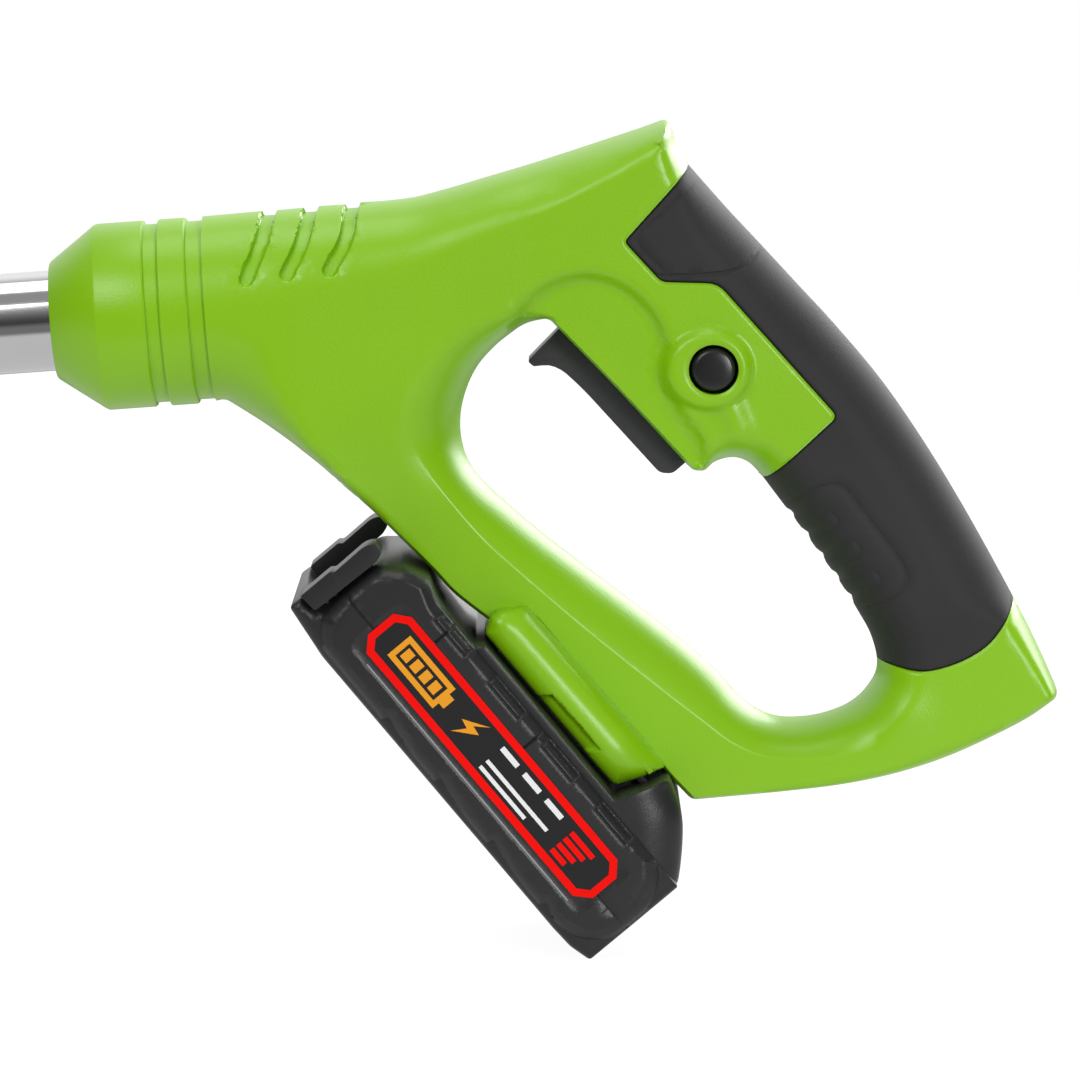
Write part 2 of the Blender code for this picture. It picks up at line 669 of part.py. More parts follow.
def pack_cells():
    """The cells, welded into one stack by the strips across their ends."""
    half, cells = CELL_LENGTH / 2, []
    for i in range(CELLS):
        a = CELL_FIRST + CELL_PITCH * i
        cells.append(rod("cell", CELL_R, (a, -half, CELL_B), (a, half, CELL_B), steel(), 20))
    strips = [box("strip", (-12.6, y, -23.4), (69.0, y + 0.7, -17.4)) for y in (-33.1, 32.4)]
    stack = join(cells[0], *cells[1:], *strips)
    stack.name = "cell_stack"
    return stack


def pack_latches():
    """Two ears with stems that reach in through the tray's end."""
    profile = [
        (-30.4, -31.4, 1.0), (-30.0, -4.4, 2.0), (-26.6, -2.6, 1.5), (-24.2, -6.2, 0.6), (-24.2, -26.0, 0),
        (-24.2, -31.8, 0.6),
    ]
    latches = []
    for name, side in (("left", -1), ("right", 1)):
        y0, y1 = sorted(side * y for y in LATCH_Y)
        ear = slab(f"battery_latch_{name}", outline_points(profile), y0, y1, black(), (), 1.0, 0, 1)
        y2, y3 = sorted((side * 26.6, side * 31.6))
        latches.append(join(ear, box("stem", (-25.0, y2, -22.0), (-21.4, y3, -12.0))))
    return latches


def pack_parts():
    tray, cover, stack = pack_tray(), pack_cover(), pack_cells()
    bms = box("pack_board", (-10.0, -24.0, -6.6), (70.0, 24.0, -5.0), board())
    return [pack_frame(piece) for piece in [tray, cover, bms, stack, *pack_latches()]]


# ---- shaft -----------------------------------------------------------------------------------------
def shaft_parts():
    outer = sleeve("outer_tube", TUBE_R - TUBE_WALL, TUBE_R, (TUBE_FRONT, 0, 0), (TUBE_REAR, 0, 0), steel())
    inner = sleeve("inner_tube", INNER_R - 1.1, INNER_R, (INNER_FRONT, 0, 0), (INNER_REAR, 0, 0), steel())
    ferrule_ring = [
        (0.0, TUBE_R + GAP), (0.0, 15.6), (-24.0, 15.6), (-24.0, 14.4), (-31.0, 14.4), (-31.0, 11.2),
        (-15.4, 11.2), (-15.4, TUBE_R + GAP),
    ]
    ferrule = turned("tube_ferrule", ferrule_ring, (COLLAR_REAR, 0, 0), (1, 0, 0), black(), 22)
    collar_ring = [
        (-24.4, 14.8), (-24.4, 16.6), (-26.4, 18.6), (-50.0, COLLAR_R), (-54.0, 14.0), (-54.0, 11.3),
        (-31.6, 11.3), (-31.6, 14.8),
    ]
    collar = turned("twist_collar", collar_ring, (COLLAR_REAR, 0, 0), (1, 0, 0), green(), 22)
    ribs = []
    for i in range(8):
        y, z = polar(45 * i + 10, COLLAR_R)
        ribs.append(rod(f"rib_{i}", 1.6, (COLLAR_REAR - 46, y, z), (COLLAR_REAR - 28, y, z), None, 6))
    cable = rod("motor_cable", 4.6, (INNER_FRONT - 22.0, 0, 0), (TUBE_REAR + 10.0, 0, 0), black(), 12)
    return [outer, inner, ferrule, join(collar, *ribs), cable]


def aux_parts():
    x = AUX_X
    lower_side = [(x - 16, -18.0, 5), (x + 16, -18.0, 5), (x + 16, -GAP, 0), (x - 16, -GAP, 0)]
    upper_side = [
        (x - 16, GAP, 0), (x - 16, 17.0, 6), (x - 9, AUX_PIVOT_Z + 8.0, 7), (x + 9, AUX_PIVOT_Z + 8.0, 7),
        (x + 16, 17.0, 6), (x + 16, GAP, 0),
    ]
    bore = TUBE_R + 0.1
    half, top = AUX_CLAMP_HALF, AUX_PIVOT_Z
    lower = slab("aux_clamp_lower", outline_points(lower_side), -half, half, black(), (), 2.0, 0, 1)
    upper = slab("aux_clamp_upper", outline_points(upper_side), -half, half, black(), (), 2.0, 0, 1)
    lower = cut(lower, rod("bore", bore, (x - 30, 0, 0), (x + 30, 0, 0), None, 32))
    upper = cut(upper, rod("bore", bore, (x - 30, 0, 0), (x + 30, 0, 0), None, 32))
    eye = 4.4
    upper = cut(upper, rod("eye", eye, (x, -30, top), (x, 30, top), None, 16))
    frame = cut(aux_frame(), rod("eye", eye, (x, -40, top), (x, 40, top), None, 16))
    bar = top + AUX_HEIGHT
    start, end = (x, -AUX_GRIP_HALF, bar), (x, AUX_GRIP_HALF, bar)
    grip = sleeve("aux_grip", AUX_TUBE_R + GAP, AUX_GRIP_R, start, end, rubber(), 24)
    bolt = rod("aux_bolt", AUX_BOLT_R, (x, -33.4, top), (x, 36.0, top), steel(), 16)
    bolt = join(bolt, rod("head", 7.0, (x, -33.6, top), (x, -29.4, top), None, 6))
    knob = sleeve("aux_knob", AUX_BOLT_R + 0.2, AUX_KNOB_R, (x, 29.5, top), (x, 42.0, top), black(), 24)
    lobes = []
    for i in range(6):
        dx, dz = polar(60 * i, AUX_KNOB_R)
        lobes.append(rod(f"lobe_{i}", 3.6, (x + dx, 31.0, top + dz), (x + dx, 40.6, top + dz), None, 10))
    cap = rod("cap", 7.0, (x, 37.0, top), (x, 43.0, top), None, 16)
    screws = [(x, side * AUX_SCREW_Y) for side in (-1, 1)]
    for place in screws:
        drill = ("drill", 1.9, (*place, -30.0), (*place, 9.0), None, 10)
        lower = cut(lower, rod(*drill))
        upper = cut(upper, rod(*drill))
    bolts = []
    for i, place in enumerate(screws):
        shank = rod(f"aux_screw_{i + 1}", 1.6, (*place, -20.0), (*place, 8.0), steel(), 8)
        bolts.append(join(shank, rod("head", 3.2, (*place, -20.8), (*place, -18.3), None, 12)))
    return [lower, upper, frame, grip, bolt, join(knob, *lobes, cap), *bolts]


def aux_frame():
    """The second handle's loop with an ear at each end of it."""
    x, top = AUX_X, AUX_PIVOT_Z
    ear = [
        (x - 9, top - 11, 8), (x + 9, top - 11, 8), (x + 12, top, 4), (x + 7.5, top + 35, 5),
        (x - 7.5, top + 35, 5), (x - 12, top, 4),
    ]
    ears = []
    for side in (-1, 1):
        y0, y1 = sorted((side * 21.6, side * 28.8))
        ears.append(slab("ear", outline_points(ear), y0, y1, None, (), 0.8, 0, 1))
    return join(loop_tube("aux_loop", AUX_TUBE_R, black()), *ears)


def loop_tube(name, radius, mat):
    """The second handle's loop, from one ear up, across and down to the other."""
    top = AUX_PIVOT_Z + AUX_HEIGHT
    half = AUX_HALF_WIDTH - radius
    path = [
        (-26.2, AUX_PIVOT_Z + 27.0), (-33.0, AUX_PIVOT_Z + 36.0), (-46.0, AUX_PIVOT_Z + 45.0),
        (-half, AUX_PIVOT_Z + 57.0), (-half, AUX_PIVOT_Z + 74.0), (-half + 7.0, top - 2.5), (-46.0, top),
        (-30.0, top),
    ]
    right = [(-y, z) for y, z in reversed(path)]
    points = smooth_run([Vector(p) for p in path + right], False, 9.0)
    curve = bpy.data.curves.new(name, "CURVE")
    curve.dimensions = "3D"
    curve.bevel_depth = radius
    curve.bevel_resolution = 2
    curve.use_fill_caps = True
    spline = curve.splines.new("POLY")
    spline.points.add(len(points) - 1)
    for target, point in zip(spline.points, points):
        target.co = (AUX_X, point.x, point.y, 1)
    curve.materials.append(mat)
    return baked(link(bpy.data.objects.new(name, curve)))


# ---- edging head -----------------------------------------------------------------------------------
def neck_parts():
    ring = [
        (-600.0, INNER_R + GAP), (-600.0, 14.0), (-606.0, 16.4), (-655.0, 19.0), (-668.0, 19.0),
        (-668.0, 12.6), (-641.0, 12.6), (-641.0, INNER_R + GAP),
    ]
    neck = turned("neck_socket", ring, (0, 0, 0), (1, 0, 0), green(), 22)
    px, pz = ARM_PIVOT
    lug_side = [(px - 10, -14.0, 0), (px + 16, -14.0, 0), (px + 7, pz - 5.0, 5), (px - 7, pz - 5.0, 5)]
    lug = slab("lug", outline_points(lug_side), -9.0, 9.0, None, (), 0.0)
    bore = rod("bore", 12.6, (-680, 0, 0), (-641.5, 0, 0), None, 28)
    neck = cut(join(neck, lug), bore)
    neck = cut(neck, rod("eye", 3.3, (px, -20, pz), (px, 20, pz), None, 14))
    x = NECK_SCREW_X
    neck = cut(neck, rod("drill", 1.8, (x, 0, 8), (x, 0, 24), None, 8))
    screw = rod("neck_screw", 1.5, (x, 0, 11.4), (x, 0, 18.0), steel(), 8)
    return [neck, join(screw, rod("head", 3.2, (x, 0, 17.6), (x, 0, 19.8), None, 12))]


def wheel_height():
    """The wheels' axis in the tool frame: they stand on the floor."""
    rise = math.radians(SHAFT_RISE)
    return (WHEEL_R - NOSE_HEIGHT - WHEEL_X * math.sin(rise)) / math.cos(rise)


def wheel_arm(wz):
    """Two cheeks on a cross tube that carries the axle."""
    px, pz = ARM_PIVOT
    side_plate = [
        (px - 7, pz + 5, 5), (px + 7, pz + 5, 5), (WHEEL_X + 9, wz + 5, 7), (WHEEL_X - 7, wz - 9, 7),
    ]
    cheeks = []
    for side in (-1, 1):
        y0, y1 = sorted((side * 9.4, side * 14.0))
        cheeks.append(slab("wheel_arm", outline_points(side_plate), y0, y1, black(), (), 0.8, 0, 1))
    arm = join(cheeks[0], cheeks[1], rod("cross", 7.6, (WHEEL_X, -21.6, wz), (WHEEL_X, 21.6, wz), None, 20))
    arm = cut(arm, rod("eye", AXLE_R + 0.25, (WHEEL_X, -40, wz), (WHEEL_X, 40, wz), None, 16))
    return cut(arm, rod("pivot_eye", ARM_BOLT_R + 0.3, (px, -40, pz), (px, 40, pz), None, 14))


def wheel_parts():
    px, pz = ARM_PIVOT
    wz = wheel_height()
    arm = wheel_arm(wz)
    axle = rod("wheel_axle", AXLE_R, (WHEEL_X, -46, wz), (WHEEL_X, 46, wz), steel(), 16)
    pivot = rod("arm_bolt", ARM_BOLT_R, (px, -17.6, pz), (px, 20.0, pz), steel(), 14)
    pivot = join(pivot, rod("head", 6.0, (px, -18.0, pz), (px, -14.4, pz), None, 6))
    nut = sleeve("arm_wing_nut", ARM_BOLT_R + 0.2, 6.4, (px, 14.4, pz), (px, 22.0, pz), black(), 16)
    wings = box("wings", (px - 13, 16.4, pz - 2.0), (px + 13, 20.6, pz + 2.0), None, 0.8)
    nut = join(nut, cut(wings, rod("core", 4.5, (px, 10, pz), (px, 30, pz), None, 14)))
    seat = TYRE_SEAT_R - GAP
    tyre_ring = [
        (0.0, TYRE_SEAT_R), (0.0, 31.5), (2.5, WHEEL_R), (15.5, WHEEL_R), (18.0, 31.5), (18.0, TYRE_SEAT_R),
    ]
    rim_ring = [
        (0.4, 4.2), (0.4, 9.0), (5.0, 10.0), (5.0, 22.0), (0.8, 23.6), (0.8, seat), (17.2, seat),
        (17.2, 23.6), (13.0, 22.0), (13.0, 10.0), (17.6, 9.0), (17.6, 4.2),
    ]
    made = []
    for name, side in (("left", -1), ("right", 1)):
        y0 = min(side * y for y in WHEEL_Y)
        made.append(turned(f"wheel_tyre_{name}", tyre_ring, (WHEEL_X, y0, wz), (0, 1, 0), rubber(), 32))
        made.append(turned(f"wheel_rim_{name}", rim_ring, (WHEEL_X, y0, wz), (0, 1, 0), green(), 22))
    return [arm, axle, pivot, nut, *made], wz


def head_parts():
    side = [*arc(40, 320, HEAD_R, (HEAD_X, 0), 22), (-682.6, -20.0, 1), (-682.6, 20.0, 1)]
    side[0] = (*side[0], 3)
    side[22] = (*side[22], 3)
    points = outline_points(side)
    whole = slab("pod", points, -HEAD_HALF, HEAD_HALF, green(), (), HEAD_ROUND)
    room = slab("pod_room", points, -HEAD_HALF + WALL, HEAD_HALF - WALL, None, (), 2.0, 3.0, 1)
    whole = cut(whole, room)
    spigot = rod("spigot", 12.1, (-686.8, 0, 0), (-642.4, 0, 0), None, 24)
    collar = rod("collar", 18.6, (-686.0, 0, 0), (-668.4, 0, 0), None, 28)
    whole = join(whole, collar, spigot)
    whole = cut(whole, rod("cable_way", 9.2, (-700, 0, 0), (-641.0, 0, 0), None, 20))
    slots = []
    for i in range(5):
        z = -16.0 + 8.0 * i
        slots.append(box(f"vent_{i}", (HEAD_X - 16.0, 20, z), (HEAD_X + 16.0, 40, z + 3.4)))
    left = keep(copy_of(whole, "head_shell_left"), half_space("left_side", -1))
    right = keep(copy_of(whole, "head_shell_right"), half_space("right_side", 1))
    bpy.data.objects.remove(whole)
    right = cut(right, *slots)
    for angle in GUARD_SCREW_ANGLES:
        x, z = polar(angle, GUARD_SCREW_RING, (HEAD_X, 0))
        left = cut(left, rod("guard_drill", 1.9, (x, -40, z), (x, -28, z), None, 8))
    left = cut(left, rod("bearing_seat", BEARING_R + GAP, (HEAD_X, -40, 0), (HEAD_X, -20, 0), None, 28))
    screws = []
    for i, angle in enumerate((60, 180, 300)):
        x, z = polar(angle, HEAD_LUG_RING, (HEAD_X, 0))
        lug_left = rod("lug", 4.4, (x, -12.0, z), (x, -SPLIT, z), None, 14)
        lug_right = rod("lug", 4.4, (x, SPLIT, z), (x, 12.0, z), None, 14)
        corners = ((-7, 32.6), (7, 32.6), (6, HEAD_LUG_RING), (-6, HEAD_LUG_RING))
        web = [polar(angle + turn, radius, (HEAD_X, 0)) for turn, radius in corners]
        left = join(left, lug_left, slab("web", web, -11.0, -SPLIT - 0.1))
        right = join(right, lug_right, slab("web", web, SPLIT + 0.1, 11.0))
        left = cut(left, rod("drill", 1.7, (x, -14, z), (x, 2, z), None, 8))
        right = cut(right, rod("drill", 1.7, (x, -2, z), (x, 14, z), None, 8))
        screw = rod(f"head_screw_{i + 1}", 1.4, (x, -11.0, z), (x, 12.6, z), steel(), 8)
        screws.append(join(screw, rod("head", 3.0, (x, 12.3, z), (x, 14.4, z), None, 12)))
    motor = rod("motor", MOTOR_R, (HEAD_X, -22, 0), (HEAD_X, 28, 0), steel(), 32)
    motor = cut(motor, rod("bore", 4.3, (HEAD_X, -30, 0), (HEAD_X, 20, 0), None, 16))
    start, end = (HEAD_X, -33.2, 0), (HEAD_X, -24.0, 0)
    bearing = sleeve("spindle_bearing", SPINDLE_R + 0.1, BEARING_R, start, end, steel(), 28)
    return [left, right, motor, bearing, *screws]


def cutter_parts():
    x = HEAD_X
    spindle = rod("spindle", SPINDLE_R, (x, -60.0, 0), (x, 12.0, 0), steel(), 16)
    flange_ring = [
        (0.0, 4.1), (0.0, 9.0), (6.0, 9.0), (8.0, 15.0), (11.0, 15.0), (11.0, 4.1),
    ]
    flange = turned("blade_flange", flange_ring, (x, -38.4, 0), (0, -1, 0), steel(), 24)
    half_bar = [(BLADE_R * math.cos(t), BLADE_R * math.sin(t)) for t in (-0.26, -0.13, 0, 0.13, 0.26)]
    bar = half_bar + [(-a, -b) for a, b in half_bar]
    outline = [(x + a, b) for a, b in bar]
    hole = [polar(20 * i, 4.15, (x, 0)) for i in range(18)]
    blade = slab("edging_blade", outline, BLADE_Y - 1.0, BLADE_Y + 1.0, steel(), [hole])
    nut = rod("blade_nut", 7.4, (x, -59.6, 0), (x, -53.6, 0), steel(), 6)
    nut = join(nut, rod("washer", 12.0, (x, -54.2, 0), (x, -52.3, 0), None, 22))
    nut = cut(nut, rod("bore", 4.3, (x, -70, 0), (x, -50, 0), None, 16))
    return [spindle, flange, blade, nut]


def guard_parts():
    centre = (HEAD_X, 0)
    outer, inner = GUARD_R + 2.6, GUARD_R
    band = arc(-8, 152, outer, centre, 24) + arc(152, -8, inner, centre, 24)
    plate = arc(-7, 151, inner + 1.2, centre, 24) + arc(212, 300, 30.0, centre, 8)
    rim = slab("blade_guard", band, -63.0, -34.6, black())
    web = slab("web", plate, -37.0, -34.35, None, [arc(0, 340, 17.0, centre, 17)])
    guard = join(web, rim)
    guard.name = "blade_guard"
    screws = []
    for i, angle in enumerate(GUARD_SCREW_ANGLES):
        x, z = polar(angle, GUARD_SCREW_RING, centre)
        guard = cut(guard, rod("drill", 2.0, (x, -60, z), (x, -30, z), None, 10))
        shank = rod(f"guard_screw_{i + 1}", 1.6, (x, -38.0, z), (x, -33.6, z), steel(), 8)
        screws.append(join(shank, rod("head", 3.6, (x, -39.6, z), (x, -37.5, z), None, 12)))
    return [guard, *screws]


# ---- assembly --------------------------------------------------------------------------------------
def joint_point(name, place, parent):
    empty = link(bpy.data.objects.new(name, None))
    empty.location = place
    empty.parent = parent
    return empty


def hang(pieces, empty):
    """Parents pieces drawn in the tool frame to an empty on their joint's axis."""
    offset = Matrix.Translation(-empty.location) if empty.parent else Matrix.Identity(4)
    for piece in pieces:
        piece.data.transform(offset)
        piece.parent = empty
        finished(piece)


def main():
    clear_scene()
    made = bpy.data.collections.new(COLLECTION)
    bpy.context.scene.collection.children.link(made)
    shells = handle_shells()
    grips = grip_halves()
    screws = handle_screws()
    trigger, trigger_spring, switch = trigger_parts()
    button, button_spring = lock_off_parts()
    insides = handle_insides()
    docks = dock_parts()
    pack = pack_parts()
    outer, inner, ferrule, collar, cable = shaft_parts()
    aux = aux_parts()
    neck = neck_parts()
    (arm, axle, arm_bolt, wing_nut, *wheels), wheel_z = wheel_parts()
    head = head_parts()
    cutter = cutter_parts()
    guard = guard_parts()

    tool = link(bpy.data.objects.new("tool_frame", None))
    fixed = [*shells, *grips, *screws, trigger_spring, switch, button_spring, *insides, *docks]
    fixed += [outer, ferrule, cable, *aux[:2], *aux[6:]]
    hang(fixed, tool)
    hang([trigger], joint_point("trigger_pivot", trigger_pivot(), tool))
    hang([button], joint_point("lock_off_axis", (LOCK_OFF[0], 0, LOCK_OFF[1]), tool))
    hang(pack[:-2], joint_point("pack_rail", (RAIL_ORIGIN[0], 0, RAIL_ORIGIN[1]), tool))
    for piece, side in ((pack[-2], "left"), (pack[-1], "right")):
        hang([piece], joint_point(f"latch_{side}_axis", (RAIL_ORIGIN[0], 0, RAIL_ORIGIN[1]), tool))
    hang([collar], joint_point("collar_axis", (COLLAR_REAR, 0, 0), tool))
    hang([*aux[2:5]], joint_point("aux_pivot", (AUX_X, 0, AUX_PIVOT_Z), tool))
    hang([aux[5]], joint_point("aux_knob_axis", (AUX_X, 36.0, AUX_PIVOT_Z), tool))
    hang([inner, *neck, arm_bolt], joint_point("telescope_axis", (INNER_REAR, 0, 0), tool))
    hang([arm, axle], joint_point("arm_pivot", (ARM_PIVOT[0], 0, ARM_PIVOT[1]), tool))
    hang([wing_nut], joint_point("wing_nut_axis", (ARM_PIVOT[0], 18.0, ARM_PIVOT[1]), tool))
    for side, pair in (("left", wheels[:2]), ("right", wheels[2:])):
        hang(pair, joint_point(f"wheel_{side}_axis", (WHEEL_X, 0, wheel_z), tool))
    hang([*head, *guard], joint_point("head_turn_axis", (-668.0, 0, 0), tool))
    hang(cutter, joint_point("spindle_axis", (HEAD_X, BLADE_Y, 0), tool))
    tool.scale = (0.001, 0.001, 0.001)
    tool.rotation_euler = (0, -math.radians(SHAFT_RISE), 0)
    tool.location = (ROW_X / 1000, 0, NOSE_HEIGHT / 1000)


def trigger_pivot():
    turn = math.radians(TRIGGER_SLOPE)
    along, into = 6.5, 3.2
    x = TRIGGER_TOP[0] + along * math.cos(turn) - into * math.sin(turn)
    z = TRIGGER_TOP[1] + along * math.sin(turn) + into * math.cos(turn)
    return x, 0, z


main()
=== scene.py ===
"""The lawn edger's looks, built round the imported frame. Tool-frame millimetres unless a name says otherwise.

The tool frame has X back along the shaft from the nose of the handle, Z up from its axis, and Y across.
"""
import json
import math

import bmesh
import bpy
import numpy as np
from mathutils import Matrix, Vector
from mathutils.geometry import delaunay_2d_cdt, tessellate_polygon

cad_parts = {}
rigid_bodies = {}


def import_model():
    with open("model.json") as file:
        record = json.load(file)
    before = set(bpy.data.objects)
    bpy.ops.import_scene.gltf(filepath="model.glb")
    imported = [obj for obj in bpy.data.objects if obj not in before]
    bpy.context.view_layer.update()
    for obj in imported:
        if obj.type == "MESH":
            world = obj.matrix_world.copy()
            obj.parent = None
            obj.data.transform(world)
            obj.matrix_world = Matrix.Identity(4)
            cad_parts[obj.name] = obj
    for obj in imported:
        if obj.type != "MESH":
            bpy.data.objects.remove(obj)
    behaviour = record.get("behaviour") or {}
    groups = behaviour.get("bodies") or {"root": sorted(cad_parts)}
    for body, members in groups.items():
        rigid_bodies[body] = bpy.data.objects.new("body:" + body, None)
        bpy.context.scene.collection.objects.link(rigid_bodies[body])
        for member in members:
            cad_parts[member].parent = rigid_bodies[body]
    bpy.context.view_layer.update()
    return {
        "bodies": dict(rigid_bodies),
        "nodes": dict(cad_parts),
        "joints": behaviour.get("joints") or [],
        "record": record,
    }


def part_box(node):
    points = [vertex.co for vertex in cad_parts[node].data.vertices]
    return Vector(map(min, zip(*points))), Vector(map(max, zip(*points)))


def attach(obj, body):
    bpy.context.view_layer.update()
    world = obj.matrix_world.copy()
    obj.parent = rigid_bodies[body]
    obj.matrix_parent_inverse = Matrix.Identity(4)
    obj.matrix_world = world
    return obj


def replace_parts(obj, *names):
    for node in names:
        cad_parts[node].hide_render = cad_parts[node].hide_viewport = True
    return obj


ROW_X, NOSE_HEIGHT, SHAFT_RISE = 274.44, 155.1, 4.1
TOOL = (
    Matrix.Translation((ROW_X / 1000, 0, NOSE_HEIGHT / 1000))
    @ Matrix.Rotation(-math.radians(SHAFT_RISE), 4, "Y")
    @ Matrix.Scale(0.001, 4)
)
RAIL_ORIGIN, RAIL_ANGLE = (97.8, -77.6), -54.1
LOCK_OFF = (163.0, -22.2)
TRIGGER_TOP, TRIGGER_SLOPE = (126.1, -10.4), -50.9
PARTING = 0.12
NOTCH = 0.3


# ---- outlines --------------------------------------------------------------------------------------
TOP_EDGE = [
    (39.4, 23.2, 0), (54.4, 23.4, NOTCH), (54.7, 22.3, NOTCH), (57.5, 22.3, NOTCH), (58.0, 23.4, NOTCH),
    (64.7, 23.5, NOTCH), (65.0, 22.4, NOTCH), (67.9, 22.4, NOTCH), (68.4, 23.6, NOTCH), (75.1, 23.6, NOTCH),
    (75.4, 22.6, NOTCH), (78.3, 22.6, NOTCH), (78.8, 23.8, NOTCH), (84, 23.8), (92, 24.2), (99.8, 25.6),
    (110.8, 28.0), (122, 30.5),
    (133, 33.2), (144.1, 36.0), (149.6, 37.4), (156.6, 39.4, 2.4), (158.1, 33.0), (160.7, 27.4, 0.8),
    (169.3, 16.2), (176.7, 7.1), (185.7, -4.1), (194, -14.4), (205, -29.5), (214.8, -46.0), (223, -61.8),
    (231.4, -79.6), (237.4, -93.2), (240.6, -101.2), (244.1, -110.9, 2.4), (236.3, -115.7), (227.4, -119.8),
    (215.7, -124.3), (206.7, -126.7), (198, -128.3), (186.5, -129.5), (174.9, -130.0), (150.2, -130.4, 1.6),
    (144.9, -123.9, 0.8),
]
FRONT_EDGE = [
    (114.0, -81.4, 0.6), (108.4, -85.5, 0.6), (103, -81.6, 1.2), (94.5, -73.9), (89.3, -67.4),
    (82.5, -59.6), (76, -52.1), (69, -45.0),
    (62.9, -39.0), (52, -29.9), (41.6, -22.4, 1.5), (39.4, -22.9, 0),
]
HOLE_EDGE = [
    (99.6, -37), (99.8, -30.5), (101.8, -24.1), (104.8, -18.9), (108.9, -14.7), (113.5, -11.3), (117.9, -8.9),
    (123.4, -7.8, 1.6), (138.7, -26.0), (156.4, -48.2, 1.2), (159.6, -48.4), (161.6, -46.9), (164.9, -46.0),
    (167.8, -46.2), (170.7, -47.8), (173.9, -51.6, 0.5), (179.2, -59.8), (182.6, -65.0), (187.0, -72.2),
    (191.8, -80.2), (195.8, -87.8), (198.0, -92.6), (199.3, -98.9), (198.8, -102.6), (197.4, -105.0),
    (194.9, -107.8), (191.3, -110.2), (186.6, -111.8), (182, -112.6), (176.2, -112.6), (172.3, -111.8),
    (168.4, -109.8), (164, -105.8), (159.9, -100.4), (152.9, -93.0), (144.4, -85.1), (136.1, -77.7),
    (128.4, -71.0), (117.5, -61.2), (110.5, -54.3), (104.6, -48.0), (101.2, -43.0),
]
RUBBER_REGION = [
    (180.0, 46.0, 0), (160.7, 27.6, 0), (143.2, 10.7, 1.4), (151.7, 0.1, 1.6), (165.5, -1.3, 2.6),
    (192.6, -36.2, 1.8), (173.8, -51.4, 0), (160.0, -68.0, 0), (186.0, -98.9, 0), (199.0, -98.9, 0),
    (211.4, -101.2), (225.4, -96.4), (234.6, -85.6, 0), (262.0, -70.0, 0), (262.0, 46.0, 0),
]
RIDGE = [
    (84, -24.0), (86.4, -32.5), (90.4, -41.6), (96.4, -51.0), (103.4, -60.4), (114.1, -71.6), (128, -85.4),
    (141.9, -98.4), (154.3, -109.5), (161.8, -115.8), (168.7, -119.2), (184.7, -120.9), (200.9, -119.3),
    (212.5, -116.9),
]
CREASE = [
    (156.5, 38.0), (153.3, 35.3), (146.3, 30.3), (138.5, 25.8), (130.8, 21.9), (123.2, 18.9), (112, 15.6),
]
HOUSING = [
    (116.0, -14.0), (115.4, -8.6), (117.6, -4.4), (121.6, -1.0), (126.8, 1.4), (133.8, 2.0), (141.5, -0.9),
    (148.0, -7.6), (151.0, -15.6), (151.2, -24.0), (152.6, -31.0), (156.0, -36.6), (158.4, -41.4),
    (158.4, -46.0),
    (156.0, -54.0), (136, -34.0),
]
VENTS = [
    [(57.2, 28.0), (56.1, 23.6), (54.1, 16.5), (50.2, 8.3)],
    [(67.5, 28.0), (66.4, 23.9), (64.2, 16.0), (60.2, 8.8)],
    [(77.9, 28.0), (76.8, 24.0), (75.2, 16.3), (70.7, 9.1)],
]
GRIP_GROOVES = [
    ([(164.0, 26.4), (162.5, 24.6), (154.3, 17.6), (146.6, 10.6), (151.8, 3.4)], 0.35, 0.6),
    ([(151.6, 1.6), (161.6, 1.2), (172.0, 2.2), (177.6, 6.8)], 0.45, 0.7),
    ([(178.0, -57.9), (183.5, -55.2), (189.2, -53.0), (192.4, -53.4), (199.2, -62.7), (206.6, -74.4),
      (207.4, -78.0), (205.5, -81.4), (195.4, -85.2)], 0.4, 0.55),
    ([(183.6, -63.0), (189.6, -60.0), (191.4, -62.6), (186.6, -66.4)], 0.25, 0.5),
    ([(188.2, -70.6), (194.6, -67.4), (196.4, -70.2), (191.4, -74.0)], 0.25, 0.5),
    ([(192.8, -78.2), (199.2, -75.2), (200.8, -78.0), (196.0, -81.6)], 0.25, 0.5),
]
RIB_LINE = [(178.2, -58.7), (181.8, -64.0), (187.0, -71.9), (191.5, -78.9), (195.2, -86.0)]
RIBS = 5
SCREWS = [(66, 14), (68, -31), (141, 24), (219, -110)]


def smooth_run(points, closed, step):
    """Points about a step apart on a centripetal Catmull-Rom curve through the given ones."""
    points = [Vector(p) for p in points]
    count, out = len(points), []
    for i in range(count if closed else count - 1):
        p1, p2 = points[i], points[(i + 1) % count]
        if closed:
            p0, p3 = points[i - 1], points[(i + 2) % count]
        else:
            p0 = points[i - 1] if i else p1 + (p1 - p2)
            p3 = points[i + 2] if i + 2 < count else p2 + (p2 - p1)
        knots = [0.0]
        for a, b in ((p0, p1), (p1, p2), (p2, p3)):
            knots.append(knots[-1] + math.sqrt((b - a).length))
        steps = max(1, round((p2 - p1).length / step))
        for k in range(steps):
            t = knots[1] + (knots[2] - knots[1]) * k / steps
            a = [
                (q * (knots[j + 1] - t) + r * (t - knots[j])) / (knots[j + 1] - knots[j])
                for j, (q, r) in enumerate(((p0, p1), (p1, p2), (p2, p3)))
            ]
            b = [
                (a[j] * (knots[j + 2] - t) + a[j + 1] * (t - knots[j])) / (knots[j + 2] - knots[j])
                for j in range(2)
            ]
            out.append((b[0] * (knots[2] - t) + b[1] * (t - knots[1])) / (knots[2] - knots[1]))
    if not closed:
        out.append(points[-1].copy())
    return out


